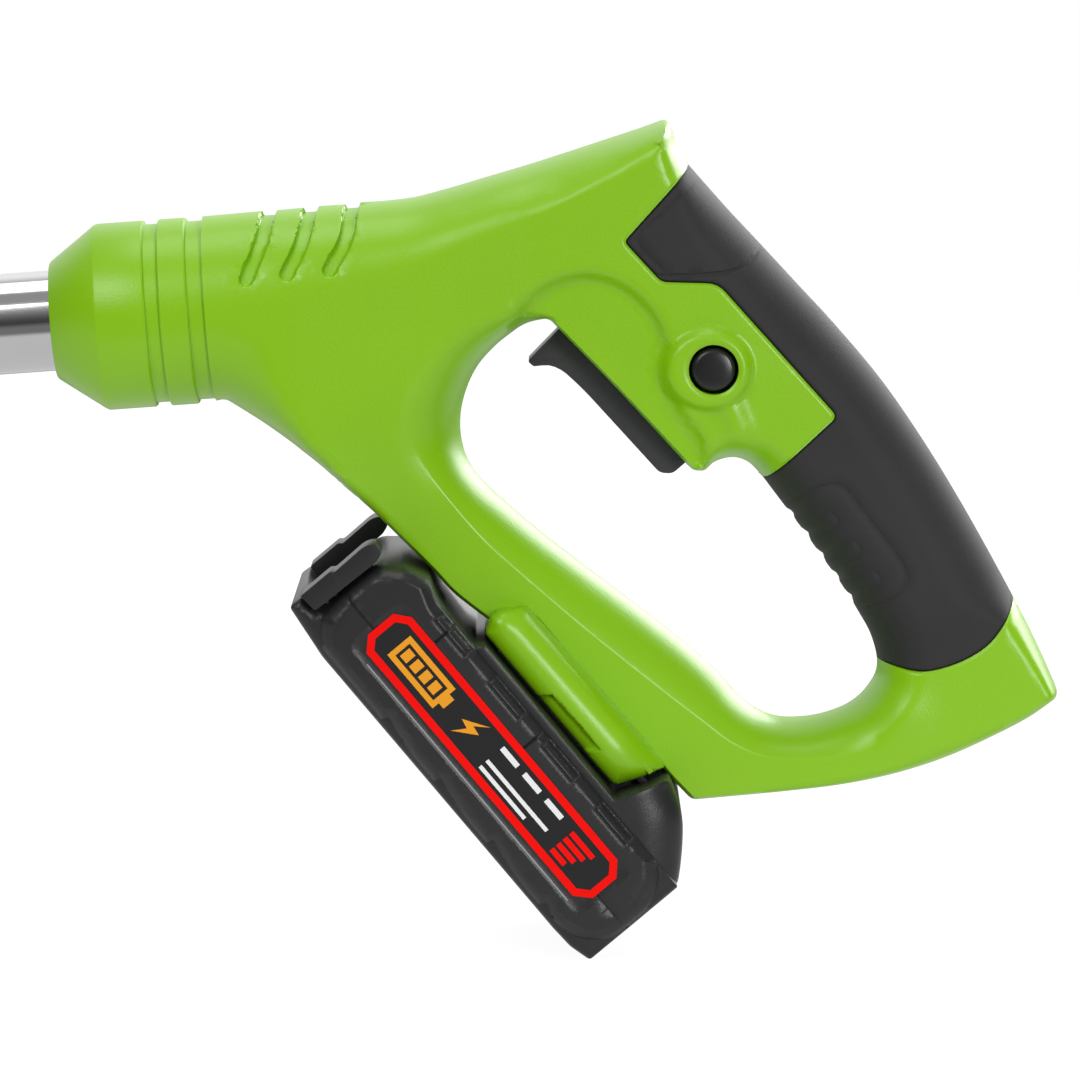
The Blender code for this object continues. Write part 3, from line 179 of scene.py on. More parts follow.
def outline(entries, step=1.2, steps=4):
    """A closed outline from entries that are (x, z) on a smooth run or (x, z, radius) at a corner."""
    corners = [i for i, entry in enumerate(entries) if len(entry) == 3]
    if not corners:
        return smooth_run(entries, True, step)
    runs = []
    for n, first in enumerate(corners):
        last = corners[(n + 1) % len(corners)]
        span = (last - first) % len(entries) or len(entries)
        picked = [entries[(first + k) % len(entries)] for k in range(span + 1)]
        run = smooth_run([entry[:2] for entry in picked], False, step)
        if len(run) == 2 and (run[1] - run[0]).length < 2.5 * max(picked[0][2], picked[-1][2]):
            run.insert(1, (run[0] + run[1]) / 2)
        trimmed = list(run)
        for end, entry in ((0, picked[0]), (-1, picked[-1])):
            reach, centre = entry[2], Vector(entry[:2])
            if reach:
                inside = [p for p in trimmed if (p - centre).length < reach]
                keep = [p for p in trimmed if (p - centre).length >= reach]
                if keep and inside:
                    nearest = keep[0] if end == 0 else keep[-1]
                    edge = centre + (nearest - centre).normalized() * reach
                    trimmed = [edge, *keep] if end == 0 else [*keep, edge]
        runs.append((Vector(picked[0][:2]), picked[0][2], trimmed))
    points = []
    for n, (corner, radius, run) in enumerate(runs):
        if radius:
            start, end = runs[n - 1][2][-1], run[0]
            for k in range(1, steps + 1):
                t = k / (steps + 1)
                points.append(start * (1 - t) ** 2 + corner * 2 * t * (1 - t) + end * t * t)
        points += run
    return [p for i, p in enumerate(points) if (p - points[i - 1]).length > 0.02]


# ---- numbers on arrays of points -------------------------------------------------------------------
def array(points):
    return np.array([(p[0], p[1]) for p in points], float)


def ring_of(entries, step=1.2, steps=4):
    return array(outline(entries, step, steps))


def run_of(points, step):
    return array(smooth_run(points, False, step))


def distance(points, line, closed=False):
    """Distance from each point to a polyline, and how far along it the nearest place is, from 0 to 1."""
    a = line if closed else line[:-1]
    b = np.roll(line, -1, 0) if closed else line[1:]
    run = b - a
    size = np.maximum((run**2).sum(1), 1e-12)
    length = np.sqrt(size)
    starts = np.concatenate([[0], np.cumsum(length)])
    best = np.full(len(points), 1e9)
    along = np.zeros(len(points))
    for k in range(0, len(points), 4000):
        p = points[k : k + 4000, None, :]
        t = np.clip(((p - a) * run).sum(2) / size, 0, 1)
        d = np.sqrt(((p - a - t[..., None] * run) ** 2).sum(2))
        i = d.argmin(1)
        rows = np.arange(len(i))
        best[k : k + 4000] = d[rows, i]
        along[k : k + 4000] = (starts[i] + t[rows, i] * length[i]) / starts[-1]
    return best, along


def inside(points, ring):
    """True for each point in a closed ring."""
    x, z = points[:, 0], points[:, 1]
    found = np.zeros(len(points), bool)
    for (ax, az), (bx, bz) in zip(ring, np.roll(ring, -1, 0)):
        crossing = (az > z) != (bz > z)
        if az != bz:
            found ^= crossing & (x < (bx - ax) * (z - az) / (bz - az) + ax)
    return found


def signed(points, ring):
    """Distance to a closed ring, below 0 inside it."""
    d, _ = distance(points, ring, True)
    return np.where(inside(points, ring), -d, d)


def ramp(value, low, high):
    t = np.clip((value - low) / (high - low), 0, 1)
    return t * t * (3 - 2 * t)


def quarter(t):
    """A quarter round: 0 at the edge, 1 from t = 1 on."""
    t = np.clip(t, 0, 1)
    return np.sqrt(t * (2 - t))


def table(along, pairs):
    return np.interp(along, [p[0] for p in pairs], [p[1] for p in pairs])


# ---- materials -------------------------------------------------------------------------------------
def material(name, colour, roughness, metallic=0.0, bump=0.0, scale=900.0, mottle=0.0, spec=0.5):
    """A Principled material whose colour varies a little, with a fine grain in its surface."""
    made = bpy.data.materials.new(name)
    made.use_nodes = True
    nodes, links = made.node_tree.nodes, made.node_tree.links
    shader = nodes["Principled BSDF"]
    shader.inputs["Roughness"].default_value = roughness
    shader.inputs["Metallic"].default_value = metallic
    shader.inputs["Specular IOR Level"].default_value = spec
    place = nodes.new("ShaderNodeTexCoord")
    broad = nodes.new("ShaderNodeTexNoise")
    broad.inputs["Scale"].default_value = 28.0
    broad.inputs["Detail"].default_value = 6.0
    links.new(place.outputs["Object"], broad.inputs["Vector"])
    mix = nodes.new("ShaderNodeMix")
    mix.data_type = "RGBA"
    mix.inputs["A"].default_value = (*[c * (1 - mottle) for c in colour], 1)
    mix.inputs["B"].default_value = (*[min(1, c * (1 + mottle)) for c in colour], 1)
    links.new(broad.outputs["Fac"], mix.inputs["Factor"])
    links.new(mix.outputs["Result"], shader.inputs["Base Color"])
    if bump:
        fine = nodes.new("ShaderNodeTexNoise")
        fine.inputs["Scale"].default_value = scale
        fine.inputs["Detail"].default_value = 3.0
        links.new(place.outputs["Object"], fine.inputs["Vector"])
        grain = nodes.new("ShaderNodeBump")
        grain.inputs["Strength"].default_value = bump
        grain.inputs["Distance"].default_value = 0.0004
        links.new(fine.outputs["Fac"], grain.inputs["Height"])
        links.new(grain.outputs["Normal"], shader.inputs["Normal"])
    return made


def make_materials():
    return {
        "green": material("green_plastic", (0.232, 0.515, 0.001), 0.33, bump=0.12, scale=1500, mottle=0.04),
        "rubber": material(
            "soft_rubber", (0.024, 0.024, 0.025), 0.66, bump=0.12, scale=2200, mottle=0.25, spec=0.3
        ),
        "black": material("black_plastic", (0.026, 0.026, 0.028), 0.42, bump=0.1, scale=1600, mottle=0.12),
        "button": material("button_black", (0.008, 0.008, 0.009), 0.3, mottle=0.1),
        "pack": material(
            "pack_plastic", (0.014, 0.014, 0.015), 0.38, bump=0.12, scale=2000, mottle=0.12, spec=0.42
        ),
        "label": material("label_black", (0.014, 0.014, 0.015), 0.5, mottle=0.08, spec=0.2),
        "red": material("label_red", (0.86, 0.004, 0.002), 0.6, mottle=0.02, spec=0.08),
        "orange": material("label_orange", (0.80, 0.33, 0.02), 0.6, mottle=0.02, spec=0.1),
        "white": material("label_white", (0.80, 0.80, 0.80), 0.45, mottle=0.02),
        "chrome": material("chrome_tube", (0.58, 0.58, 0.59), 0.12, 1.0, mottle=0.03),
        "steel": material("bare_steel", (0.50, 0.50, 0.51), 0.30, 1.0, bump=0.05, mottle=0.06),
        "blade": material("blade_steel", (0.42, 0.42, 0.43), 0.34, 1.0, bump=0.08, mottle=0.08),
        "board": material("circuit_board", (0.02, 0.14, 0.06), 0.45, mottle=0.1),
        "satin": material("trigger_plastic", (0.030, 0.030, 0.032), 0.38, bump=0.08, scale=1800, mottle=0.1),
        # the light grey below paints a highlight along the lower edge of the pack's recess
        "grey": material("label_edge_grey", (0.30, 0.30, 0.30), 0.4, mottle=0.05),
        "tyre": material("tyre_rubber", (0.022, 0.022, 0.023), 0.7, bump=0.3, scale=1400, mottle=0.2),
    }


# ---- building --------------------------------------------------------------------------------------
def link(obj):
    bpy.context.scene.collection.objects.link(obj)
    return obj


def piece(name, bm, body, mat, matrix=TOOL, angle=35.0, smooth=True):
    """A piece drawn in the tool frame that rides a body of the frame."""
    bm.transform(matrix)
    mesh = bpy.data.meshes.new(name)
    bm.to_mesh(mesh)
    bm.free()
    if smooth:
        mesh.shade_smooth()
        mesh.set_sharp_from_angle(angle=math.radians(angle))
    mesh.materials.append(mat)
    obj = link(bpy.data.objects.new(name, mesh))
    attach(obj, body)
    return obj


def mirrored(bm):
    other = bm.copy()
    bmesh.ops.scale(other, vec=(1, -1, 1), verts=other.verts)
    bmesh.ops.reverse_faces(other, faces=other.faces)
    return other


def triangulate(rings, free):
    """Triangles over flat points that keep the rings' edges: the points, the faces and their middles."""
    verts, edges = [], []
    for ring in rings:
        base = len(verts)
        verts += [Vector(q) for q in ring]
        edges += [(base + i, base + (i + 1) % len(ring)) for i in range(len(ring))]
    verts += [Vector(q) for q in free]
    points, _, faces, *_ = delaunay_2d_cdt(verts, edges, [], 0, 0.001)
    points = np.array([(q.x, q.y) for q in points])
    faces = [tuple(face) for face in faces]
    return points, faces, np.array([points[list(face)].mean(0) for face in faces])


def skin(points, faces, height, floor, lip=1.4):
    """A skin at y = -height, with walls down to y = -floor round its rims and a lip inside them."""
    bm = bmesh.new()
    verts = [bm.verts.new((x, -h, z)) for (x, z), h in zip(points, height)]
    count = set()
    for face in faces:
        bm.faces.new([verts[i] for i in face])
        count |= {(a, b) for a, b in zip(face, face[1:] + face[:1])}
    rim = [(a, b) for a, b in count if (b, a) not in count]
    inward = {}
    for a, b in rim:
        run = points[b] - points[a]
        side = np.array([-run[1], run[0]]) / max(np.linalg.norm(run), 1e-9)
        for i in (a, b):
            inward[i] = inward.get(i, 0) + side
    low, back = {}, {}
    for i, side in inward.items():
        x, z = points[i]
        low[i] = bm.verts.new((x, -floor[i], z))
        if lip:
            x, z = points[i] + side / max(np.linalg.norm(side), 1e-9) * lip
            back[i] = bm.verts.new((x, -floor[i], z))
    for a, b in rim:
        bm.faces.new((verts[b], verts[a], low[a], low[b]))
        if lip:
            bm.faces.new((low[b], low[a], back[a], back[b]))
    bmesh.ops.recalc_face_normals(bm, faces=bm.faces)
    bm.faces.ensure_lookup_table()
    if sum(face.normal.y * face.calc_area() for face in bm.faces[: len(faces)]) > 0:
        bmesh.ops.reverse_faces(bm, faces=bm.faces)
    return bm


def edge_points(ring, gaps):
    """Points beside a closed ring, at each gap on both its sides."""
    closed = np.vstack([ring[-1:], ring, ring[:1]])
    sets = []
    for gap in gaps:
        for sign in (-1, 1):
            moved = offset_line(closed, sign * gap)[1:-1]
            sets.append(moved[distance(moved, ring, True)[0] > gap * 0.92])
    return np.vstack(sets)


def line_points(line, gaps):
    return np.vstack([offset_line(line, sign * gap) for gap in gaps for sign in (-1, 1)])


def filled(placed, low, high, pitch, clear=0.8):
    """The placed points, with a staggered grid over the rest of the box."""
    gx, gz = np.meshgrid(np.arange(low[0], high[0], pitch), np.arange(low[1], high[1], pitch * 0.87))
    gx = gx + (np.arange(gx.shape[0])[:, None] % 2) * pitch / 2
    cells = {(int(q[0] // clear), int(q[1] // clear)) for q in placed}
    free = []
    for q in np.stack([gx.ravel(), gz.ravel()], 1):
        kx, kz = int(q[0] // clear), int(q[1] // clear)
        if not any((kx + i, kz + j) in cells for i in (-1, 0, 1) for j in (-1, 0, 1)):
            free.append(q)
    return np.vstack([placed, np.array(free).reshape(-1, 2)])


def spaced(points, gap=0.3):
    """The points without those that are almost on top of one another."""
    seen, kept = set(), []
    for q in points:
        key = (round(q[0] / gap), round(q[1] / gap))
        if key not in seen:
            seen.add(key)
            kept.append(q)
    return np.array(kept)


RIM_GAPS = (0.3, 0.7, 1.3, 2.1, 3.2, 4.6)
WALL = 2.8


def relief(ring, level, floor, extra=(), pitch=1.6, holes=()):
    """A closed ring's area as a skin at y = -level, with walls down to y = -floor and through its holes."""
    placed = np.vstack([edge_points(ring, RIM_GAPS), *extra])
    points = filled(placed, ring.min(0), ring.max(0), pitch)
    keep = inside(points, ring)
    for one in (ring, *holes):
        keep &= distance(points, one, True)[0] > 0.2
    points, faces, middles = triangulate([ring, *holes], spaced(points[keep]))
    good = inside(middles, ring)
    for one in holes:
        good &= ~inside(middles, one)
    height = np.maximum(level(points), floor + 0.02)
    low = np.full(len(points), float(floor))
    for one in holes:
        on_rim = distance(points, one, True)[0] < 0.02
        low[on_rim] = height[on_rim] - WALL
    return skin(points, [faces[i] for i in np.flatnonzero(good)], height, low, 0.0)


def plate(ring, y0, y1, bevel=0.0, segments=3, holes=()):
    """A flat ring made thick across the tool from y0 to y1, with its rims rounded."""
    bm = bmesh.new()
    rings = [list(ring), *[list(hole) for hole in holes]]
    flat = [Vector((p[0], y0, p[1])) for one in rings for p in one]
    faces = tessellate_polygon([[Vector((p[0], p[1], 0)) for p in one] for one in rings])
    low = [bm.verts.new(v) for v in flat]
    high = [bm.verts.new((v.x, y1, v.z)) for v in flat]
    for a, b, c in faces:
        bm.faces.new((low[a], low[b], low[c]))
        bm.faces.new((high[c], high[b], high[a]))
    base, rims = 0, []
    for one in rings:
        for i in range(len(one)):
            a, b = base + i, base + (i + 1) % len(one)
            bm.faces.new((low[a], low[b], high[b], high[a]))
            rims += [(low[a], low[b]), (high[a], high[b])]
        base += len(one)
    bmesh.ops.recalc_face_normals(bm, faces=bm.faces)
    if bevel:
        edges = [bm.edges.get(pair) for pair in rims]
        bmesh.ops.bevel(
            bm, geom=edges, offset=bevel, segments=segments, profile=0.5, affect="EDGES", clamp_overlap=True
        )
    return bm


def offset_line(line, gap):
    """Points of a polyline moved to its left by a gap."""
    run = np.gradient(line, axis=0)
    run /= np.maximum(np.linalg.norm(run, axis=1), 1e-9)[:, None]
    return line + np.stack([-run[:, 1], run[:, 0]], 1) * gap


class Handle:
    """The handle's side as a height over its outline, cut into plastic and rubber."""

    def __init__(self):
        whole = [entry for entry in TOP_EDGE if len(entry) == 2 or entry[2] != NOTCH]
        plain = ring_of(whole + FRONT_EDGE, 1.1)
        plain = np.roll(plain, -nearest(plain, (39.4, 23.2)), 0)
        split, end = nearest(plain, (144.9, -123.9)), nearest(plain, (39.4, -22.9))
        self.top, self.front = plain[: split + 1], plain[split : end + 1]
        self.outer = ring_of(TOP_EDGE + FRONT_EDGE, 1.1)
        self.slots = [run_of(line, 1.5) for line in VENTS]
        self.ribs = run_of(RIB_LINE, 1.0)
        self.opening = ring_of(HOLE_EDGE, 1.1)
        closed = np.vstack([self.opening[-1:], self.opening, self.opening[:1]])
        away = offset_line(closed, 1.0)[1:-1] - self.opening
        if inside(self.opening + 0.5 * away, self.opening).mean() > 0.5:
            away = -away
        self.hole = self.opening + away * self.rib_depth(self.opening)[:, None]
        self.region = ring_of(RUBBER_REGION, 1.1)
        self.ridge = run_of(RIDGE, 1.2)
        self.crease = run_of(CREASE, 1.2)
        self.housing = array(smooth_run(HOUSING, True, 1.5))

    def rib_depth(self, p):
        """Depth of the notches across the grip's inner edge."""
        d, s = distance(p, self.ribs)
        wave = (0.5 - 0.5 * np.cos(2 * np.pi * RIBS * s)) ** 3
        return 0.7 * wave * (1 - ramp(d, 3.5, 9.0)) * (s > 0) * (s < 1)

    def in_slot(self, p):
        """1 in the three slanted slots, and how far each point is from the nearest one's middle."""
        d = np.min([distance(p, line)[0] for line in self.slots], axis=0)
        return 1 - ramp(d, 1.5, 1.95), d

    def prepare(self):
        """Edge radii along each chain, as (share of the way, radius)."""
        def share(line, place):
            _, s = distance(np.array([place], float), line)
            return float(s[0])

        t = self.top
        self.top_table = [
            (share(t, p), r)
            for p, r in [
                ((39.4, 23.2), 23.2), ((50, 23.3), 22.6), ((80, 23.6), 19.0), ((100, 25.6), 15.0),
                ((122, 30.5), 12.5),
                ((140, 35), 10.0), ((153, 38.4), 6.0), ((157.5, 36.0), 4.0), ((160.7, 27.4), 7.0),
                ((169, 16), 12.0),
                ((185, -4), 15.0), ((231, -79), 15.0), ((235.6, -89), 6.0), ((243, -108), 3.0),
                ((236, -116), 3.0),
                ((215, -124.4), 4.0), ((190, -129), 2.6), ((151, -130.4), 2.0), ((145, -124), 1.6),
            ]
        ]
        f = self.front
        self.front_table = [
            (share(f, p), r)
            for p, r in [
                ((144.9, -123.9), 1.6), ((103, -81.6), 1.6), ((89, -67), 2.0), ((70, -46), 2.6),
                ((60, -36.4), 4.5),
                ((53, -30.6), 9.0), ((46, -25.6), 16.0), ((41.0, -22.8), 22.6), ((39.4, -22.9), 22.9),
            ]
        ]
        h = self.opening
        places = [
            ((99.6, -37), 17.0), ((100.5, -28), 15.0), ((108.9, -14.7), 9.5), ((114, -11), 7.0),
            ((118.4, -8.7), 4.6),
            ((121.6, -7.9), 2.6), ((124.6, -9.2), 1.1), ((155, -46.2), 1.1), ((158.6, -48.7), 2.2),
            ((161.6, -46.9), 4.4),
            ((164.9, -46), 7.0), ((170.4, -47.6), 9.5),
            ((179, -59.8), 13.0), ((195.8, -87.8), 13.0), ((198.9, -99), 12.0), ((194.9, -107.8), 10.5),
            ((182, -112.6), 9.6), ((172.3, -111.8), 9.6), ((159.9, -100.4), 11.4), ((136, -77.7), 13.6),
            ((117.5, -61.2), 14.0), ((104.6, -48), 13.8),
        ]
        rows = sorted((share(np.vstack([h, h[:1]]), p), r) for p, r in places)
        self.hole_table = [(rows[-1][0] - 1, rows[-1][1]), *rows, (rows[0][0] + 1, rows[0][1])]

    def half_width(self, p):
        """How far the side stands out from the joint plane at each flat point, before rubber and grooves."""
        x, z = p[:, 0], p[:, 1]
        d_top, s_top = distance(p, self.top)
        slot, d_slot = self.in_slot(p)
        d_top = np.maximum(d_top - 1.1 * slot, 0)
        d_front, s_front = distance(p, self.front)
        d_hole, s_hole = distance(p, np.vstack([self.opening, self.opening[:1]]))
        d_hole = np.maximum(d_hole - self.rib_depth(p), 0)
        full = np.interp(x, [39, 60, 90, 120, 170, 205, 244], [23.2, 22.8, 21.4, 20.2, 19.4, 18.2, 17.2])
        # the strut and the lower bar are thinner than the body
        low = ramp(-z, 22, 62) * ramp(x, 60, 86)
        full = full * (1 - low) + np.interp(x, [60, 100, 150, 244], [18.6, 17.6, 17.2, 17.0]) * low
        # the housing round the trigger is set in from the body above it
        inset = signed(p, self.housing)
        full = full - 3.4 * (1 - ramp(inset, -1.0, 2.6)) * ramp(z, -52, -44)
        f_hole = quarter(d_hole / table(s_hole, self.hole_table))
        # a crisp ridge runs down the strut and along the lower bar; the face inside it falls to the opening
        d_ridge, s_ridge = distance(p, self.ridge)
        strong = ramp(s_ridge, 0.02, 0.2) * (1 - ramp(s_ridge, 0.82, 0.99)) * (1 - ramp(d_ridge, 15, 20))
        share = d_ridge / np.maximum(d_hole + d_ridge, 1e-6)
        fall = 1 - 0.26 * share - 0.74 * (1 - np.sqrt(1 - np.minimum(share, 1) ** 2))
        beside = np.where(self.inner_side(p), fall, 1.0)
        f_hole = f_hole * (1 - strong) + beside * strong
        f_top = quarter(d_top / table(s_top, self.top_table))
        f_front = quarter(d_front / table(s_front, self.front_table))
        h = full * f_top * f_front * f_hole
        # the facet over the crease falls away towards the top edge
        d_crease, s_crease = distance(p, self.crease)
        h = h - self.above_crease(p) * ramp(d_crease, 0.0, 7.0) * 1.6 * (1 - ramp(s_crease, 0.55, 1.0))
        # a flat boss with sloping flanks round the lock-off button, a little wider in front of it
        r = np.hypot(x - LOCK_OFF[0], z - LOCK_OFF[1])
        wide = np.hypot((x - LOCK_OFF[0] + 1.3) / 1.08, z - LOCK_OFF[1])
        dome = 22.0 - 7.2 * ramp(wide, 8.2, 13.2)
        h = np.where(wide < 15, smooth_max(h, dome, 0.7), h)
        h = np.where(r < 7.2, np.minimum(h, 22.0 - 0.5 * (1 - ramp(r, 6.2, 6.9))), h)
        # a low fin runs from the dome to the edge under it
        d_fin = distance(p, np.array([(166.0, -30.0), (168.2, -37.0), (168.6, -45.5)]))[0]
        h = h + 1.3 * (1 - ramp(d_fin, 0.3, 4.6)) * ramp(r, 8, 11) * ramp(d_hole, 0, 4)
        # a soft swelling where the lower bar meets the cuff of the grip
        h = h + 1.5 * np.exp(-((x - 201.5) ** 2 + (z + 111.5) ** 2) / 60.0) * ramp(d_hole, 0, 3)
        return h - 1.3 * slot + 0.12 * np.exp(-(((d_slot - 2.3) / 0.25) ** 2))

    def inner_side(self, p):
        """True on the hole's side of the ridge."""
        return inside(p, np.vstack([self.ridge, [(212.5, -90), (150, -60), (120, -30), (100, -20)]]))

    def above_crease(self, p):
        return inside(p, np.vstack([self.crease, [(90, 14), (90, 40), (150, 45), (160, 42)]]))

    def plastic(self, p):
        h = self.half_width(p)
        near, _ = distance(p, self.region, True)
        outside = ~inside(p, self.region)
        return h - np.where(outside, 0.5 * (1 - ramp(near, 0.0, 0.7)), 0)

    def rubber(self, p):
        h = self.half_width(p)
        near, _ = distance(p, self.region, True)
        h = h - 0.35 - 0.9 * (1 - quarter(near / 1.1)) * (near < 1.1)
        # parting groove of the cap at the top, and the panel behind the fingers
        for line, deep, wide in GRIP_GROOVES:
            d = distance(p, run_of(line, 1.2))[0]
            h = h - deep * (1 - ramp(d, wide * 0.35, wide))
        return h


def nearest(line, place):
    return int(np.linalg.norm(line - place, axis=1).argmin())


def smooth_max(a, b, k):
    t = np.clip(0.5 + 0.5 * (a - b) / k, 0, 1)
    return b * (1 - t) + a * t + k * t * (1 - t)


def turn_ring(centre, radius, count):
    turn = np.linspace(0, 2 * np.pi, count, endpoint=False)
    return np.array(centre) + radius * np.stack([np.cos(turn), np.sin(turn)], 1)


def handle_points(handle, holes):
    """Flat points, close together along every edge and feature, and on a grid between."""
    sets = [
        *[edge_points(ring, (0.25, 0.6, 1.1, 1.8, 2.8, 4.0, 5.6)) for ring in (handle.outer, handle.hole)],
        edge_points(handle.region, (0.35, 0.7, 1.1, 1.6)),
        line_points(handle.ridge, (0.0, 0.35, 0.8)),
        line_points(handle.crease, (0.0, 0.5, 1.2)),
    ]
    for line, *_ in GRIP_GROOVES:
        sets.append(line_points(run_of(line, 0.9), (0.0, 0.3, 0.6)))
    for line in VENTS:
        fine = run_of(line, 0.7)
        sets.append(line_points(fine, (0.0, 0.7, 1.3, 1.5, 1.72, 1.95, 2.3)))
        for radius in (0.7, 1.3, 1.5, 1.72, 1.95, 2.3):
            sets.append(turn_ring(fine[-1], radius, 26))
    for radius in (6.6, 7.0, 7.6, 8.4, 9.2, 10.0, 10.8, 11.6, 12.4, 13.4):
        sets.append(turn_ring(LOCK_OFF, radius, int(radius * 6)))
    points = filled(np.vstack(sets), (39.4, -131), (245, 40), 1.4)
    ok = inside(points, handle.outer) & ~inside(points, handle.hole)
    for ring, gap in ((handle.outer, 0.2), (handle.hole, 0.2), (handle.region, 0.3)):
        ok &= distance(points, ring, True)[0] > gap
    for centre, radius in holes:
        ok &= np.hypot(*(points - centre).T) > radius + 0.15
    return spaced(points[ok])


def handle_side(handle, holes):
    """One side of the handle, drawn on the left: its plastic and its rubber."""
    cuts = [turn_ring(centre, radius, 44) for centre, radius in holes]
    rings = [handle.outer, handle.hole, *cuts, handle.region]
    points, faces, middles = triangulate(rings, handle_points(handle, holes))
    good = inside(middles, handle.outer) & ~inside(middles, handle.hole)
    for ring in cuts:
        good &= ~inside(middles, ring)
    grip = inside(middles, handle.region)
    made = []
    for pick, level in ((good & ~grip, handle.plastic), (good & grip, handle.rubber)):
        chosen = [faces[i] for i in np.flatnonzero(pick)]
        used = sorted({v for f in chosen for v in f})
        index = {v: k for k, v in enumerate(used)}
        local = points[used]
        height = level(local)
        floor = np.full(len(local), PARTING)
        d_hole = distance(local, handle.hole, True)[0]
        slope = math.radians(TRIGGER_SLOPE)
        along = (local - TRIGGER_TOP) @ np.array([math.cos(slope), math.sin(slope)])
        across = (local - TRIGGER_TOP) @ np.array([-math.sin(slope), math.cos(slope)])
        mouth = (d_hole < 0.02) & (along > 0.2) & (along < 46.4) & (np.abs(across) < 3.0)
        floor[mouth] = 6.5
        for centre, radius in holes:
            floor[np.hypot(*(local - centre).T) < radius + 0.05] = 12.4 if radius < 5 else 15.5
        edge = np.minimum(distance(local, handle.outer, True)[0], d_hole)
        seam = (distance(local, handle.region, True)[0] < 0.02) & (edge > 0.02)
        floor[seam] = np.maximum(height[seam] - 2.4, PARTING)
        height = np.maximum(height, floor + 0.02)
        made.append(skin(local, [tuple(index[v] for v in f) for f in chosen], height, floor))
    return made


def build_handle(mats):
    handle = Handle()
    handle.prepare()
    for side, holes in (("left", [(LOCK_OFF, 6.15)]), ("right", [(place, 3.3) for place in SCREWS])):
        plastic, rubber = handle_side(handle, [(np.array(c, float), r) for c, r in holes])
        if side == "right":
            plastic, rubber = mirrored(plastic), mirrored(rubber)
        shell = piece(f"shell_{side}", plastic, "handle", mats["green"], angle=50)
        grip = piece(f"grip_{side}", rubber, "handle", mats["rubber"], angle=50)
        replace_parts(shell, f"handle_shell_{side}")
        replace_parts(grip, f"grip_rubber_{side}")


def lathe(profile, origin, direction, sides=96, start=0.0, turn=360.0):
    """A profile of (distance along, radius) spun round an axis."""
    bm = bmesh.new()
    whole = abs(turn - 360.0) < 1e-6
    count = sides if whole else sides + 1
    rings = []
    frame = Vector((0, 0, 1)).rotation_difference(Vector(direction)).to_matrix().to_4x4()
    place = Matrix.Translation(origin) @ frame
    for along, radius in profile:
        ring = []
        if radius < 1e-6:
            v = bm.verts.new(place @ Vector((0, 0, along)))
            ring = [v] * count
        else:
            for k in range(count):
                a = math.radians(start + turn * k / sides)
                ring.append(bm.verts.new(place @ Vector((radius * math.cos(a), radius * math.sin(a), along))))
        rings.append(ring)
    for one, two in zip(rings, rings[1:]):
        for k in range(count if whole else count - 1):
            quad = []
            for v in (one[k], one[(k + 1) % count], two[(k + 1) % count], two[k]):
                if v not in quad:
                    quad.append(v)
            if len(quad) > 2:
                bm.faces.new(quad)
    bmesh.ops.recalc_face_normals(bm, faces=bm.faces)
    return bm


def build_nose(mats):
    profile = [
        (8.0, 12.95), (0.9, 12.95), (0.6, 13.3), (0.6, 14.2), (0.9, 14.7), (12.2, 22.9), (12.9, 23.2),
        (24.3, 23.2),
        (24.7, 22.95), (24.85, 22.2), (28.1, 22.2), (28.3, 22.95), (28.6, 23.2), (34.8, 23.2), (35.2, 22.95),
        (35.35, 22.2), (39.3, 22.2), (41.0, 21.0),
    ]
    for side, start in (("left", -90.0), ("right", 90.0)):
        bm = lathe(profile, (0, 0, 0), (1, 0, 0), 64, start, 180.0)
        low = [v for v in bm.verts if (v.co.y > 0) == (side == "left") and abs(v.co.y) > 1e-4]
        if len(low) > len(bm.verts) / 2:
            bmesh.ops.scale(bm, vec=(1, -1, 1), verts=bm.verts)
            bmesh.ops.reverse_faces(bm, faces=bm.faces)
        piece(f"nose_{side}", bm, "handle", mats["green"], angle=28)


# ---- trigger and button ----------------------------------------------------------------------------
def build_controls(mats):
    side = outline(
        [
            (126.6, -9.9, 0.3), (117.4, -18.1, 0.8), (118.8, -19.5, 0.5), (122.6, -19.5), (125.6, -20.9),
            (130.6, -25.9, 4.0), (148.2, -48.2, 1.3), (151.4, -48.6, 1.2), (155.4, -45.6, 0.4),
            (152.0, -38.0, 1.0),
            (133.0, -12.0, 1.0),
        ],
        1.6,
    )
    trigger = piece("trigger_paddle", plate(side, -6.0, 6.0, 0.55), "trigger", mats["satin"])
    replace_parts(trigger, "trigger")
    x, z = LOCK_OFF
    profile = [
        (0, 0), (0, 4.0), (12.0, 4.0), (12.0, 5.35), (20.6, 5.35), (21.3, 5.15), (21.7, 4.75), (21.85, 4.3),
        (22.0, 2.4), (22.05, 0),
    ]
    button = piece(
        "lock_button_cap", lathe(profile, (x, 0, z), (0, -1, 0), 64),
        "lock_button", mats["button"], angle=30,
    )
    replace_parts(button, "lock_off_button")


# ---- pack: X down the rail, Z off the pack's top face --------------------------------------------------
PACK = (
    TOOL
    @ Matrix.Translation((RAIL_ORIGIN[0], 0, RAIL_ORIGIN[1]))
    @ Matrix.Rotation(-math.radians(RAIL_ANGLE), 4, "Y")
)
TAB_PITCH = 20.3
PANEL = [
    (-16.4, -31.4, 1.0), (-22.6, -26.8, 1.5), (-24.6, -18.0, 2.0), (-24.4, -9.0, 2.5), (-19.4, -3.1, 1.5),
    (-13.0, -0.6, 1.2), (-7.0, -2.7, 1.0), (68.2, -2.7, 1.0), (74.8, -1.6, 1.5), (80.4, -5.6, 1.5),
    (84.0, -12.0, 2.0), (84.0, -20.0, 2.0), (83.2, -24.4, 1.5), (78.6, -29.4, 1.5), (72.4, -31.4, 1.0),
]


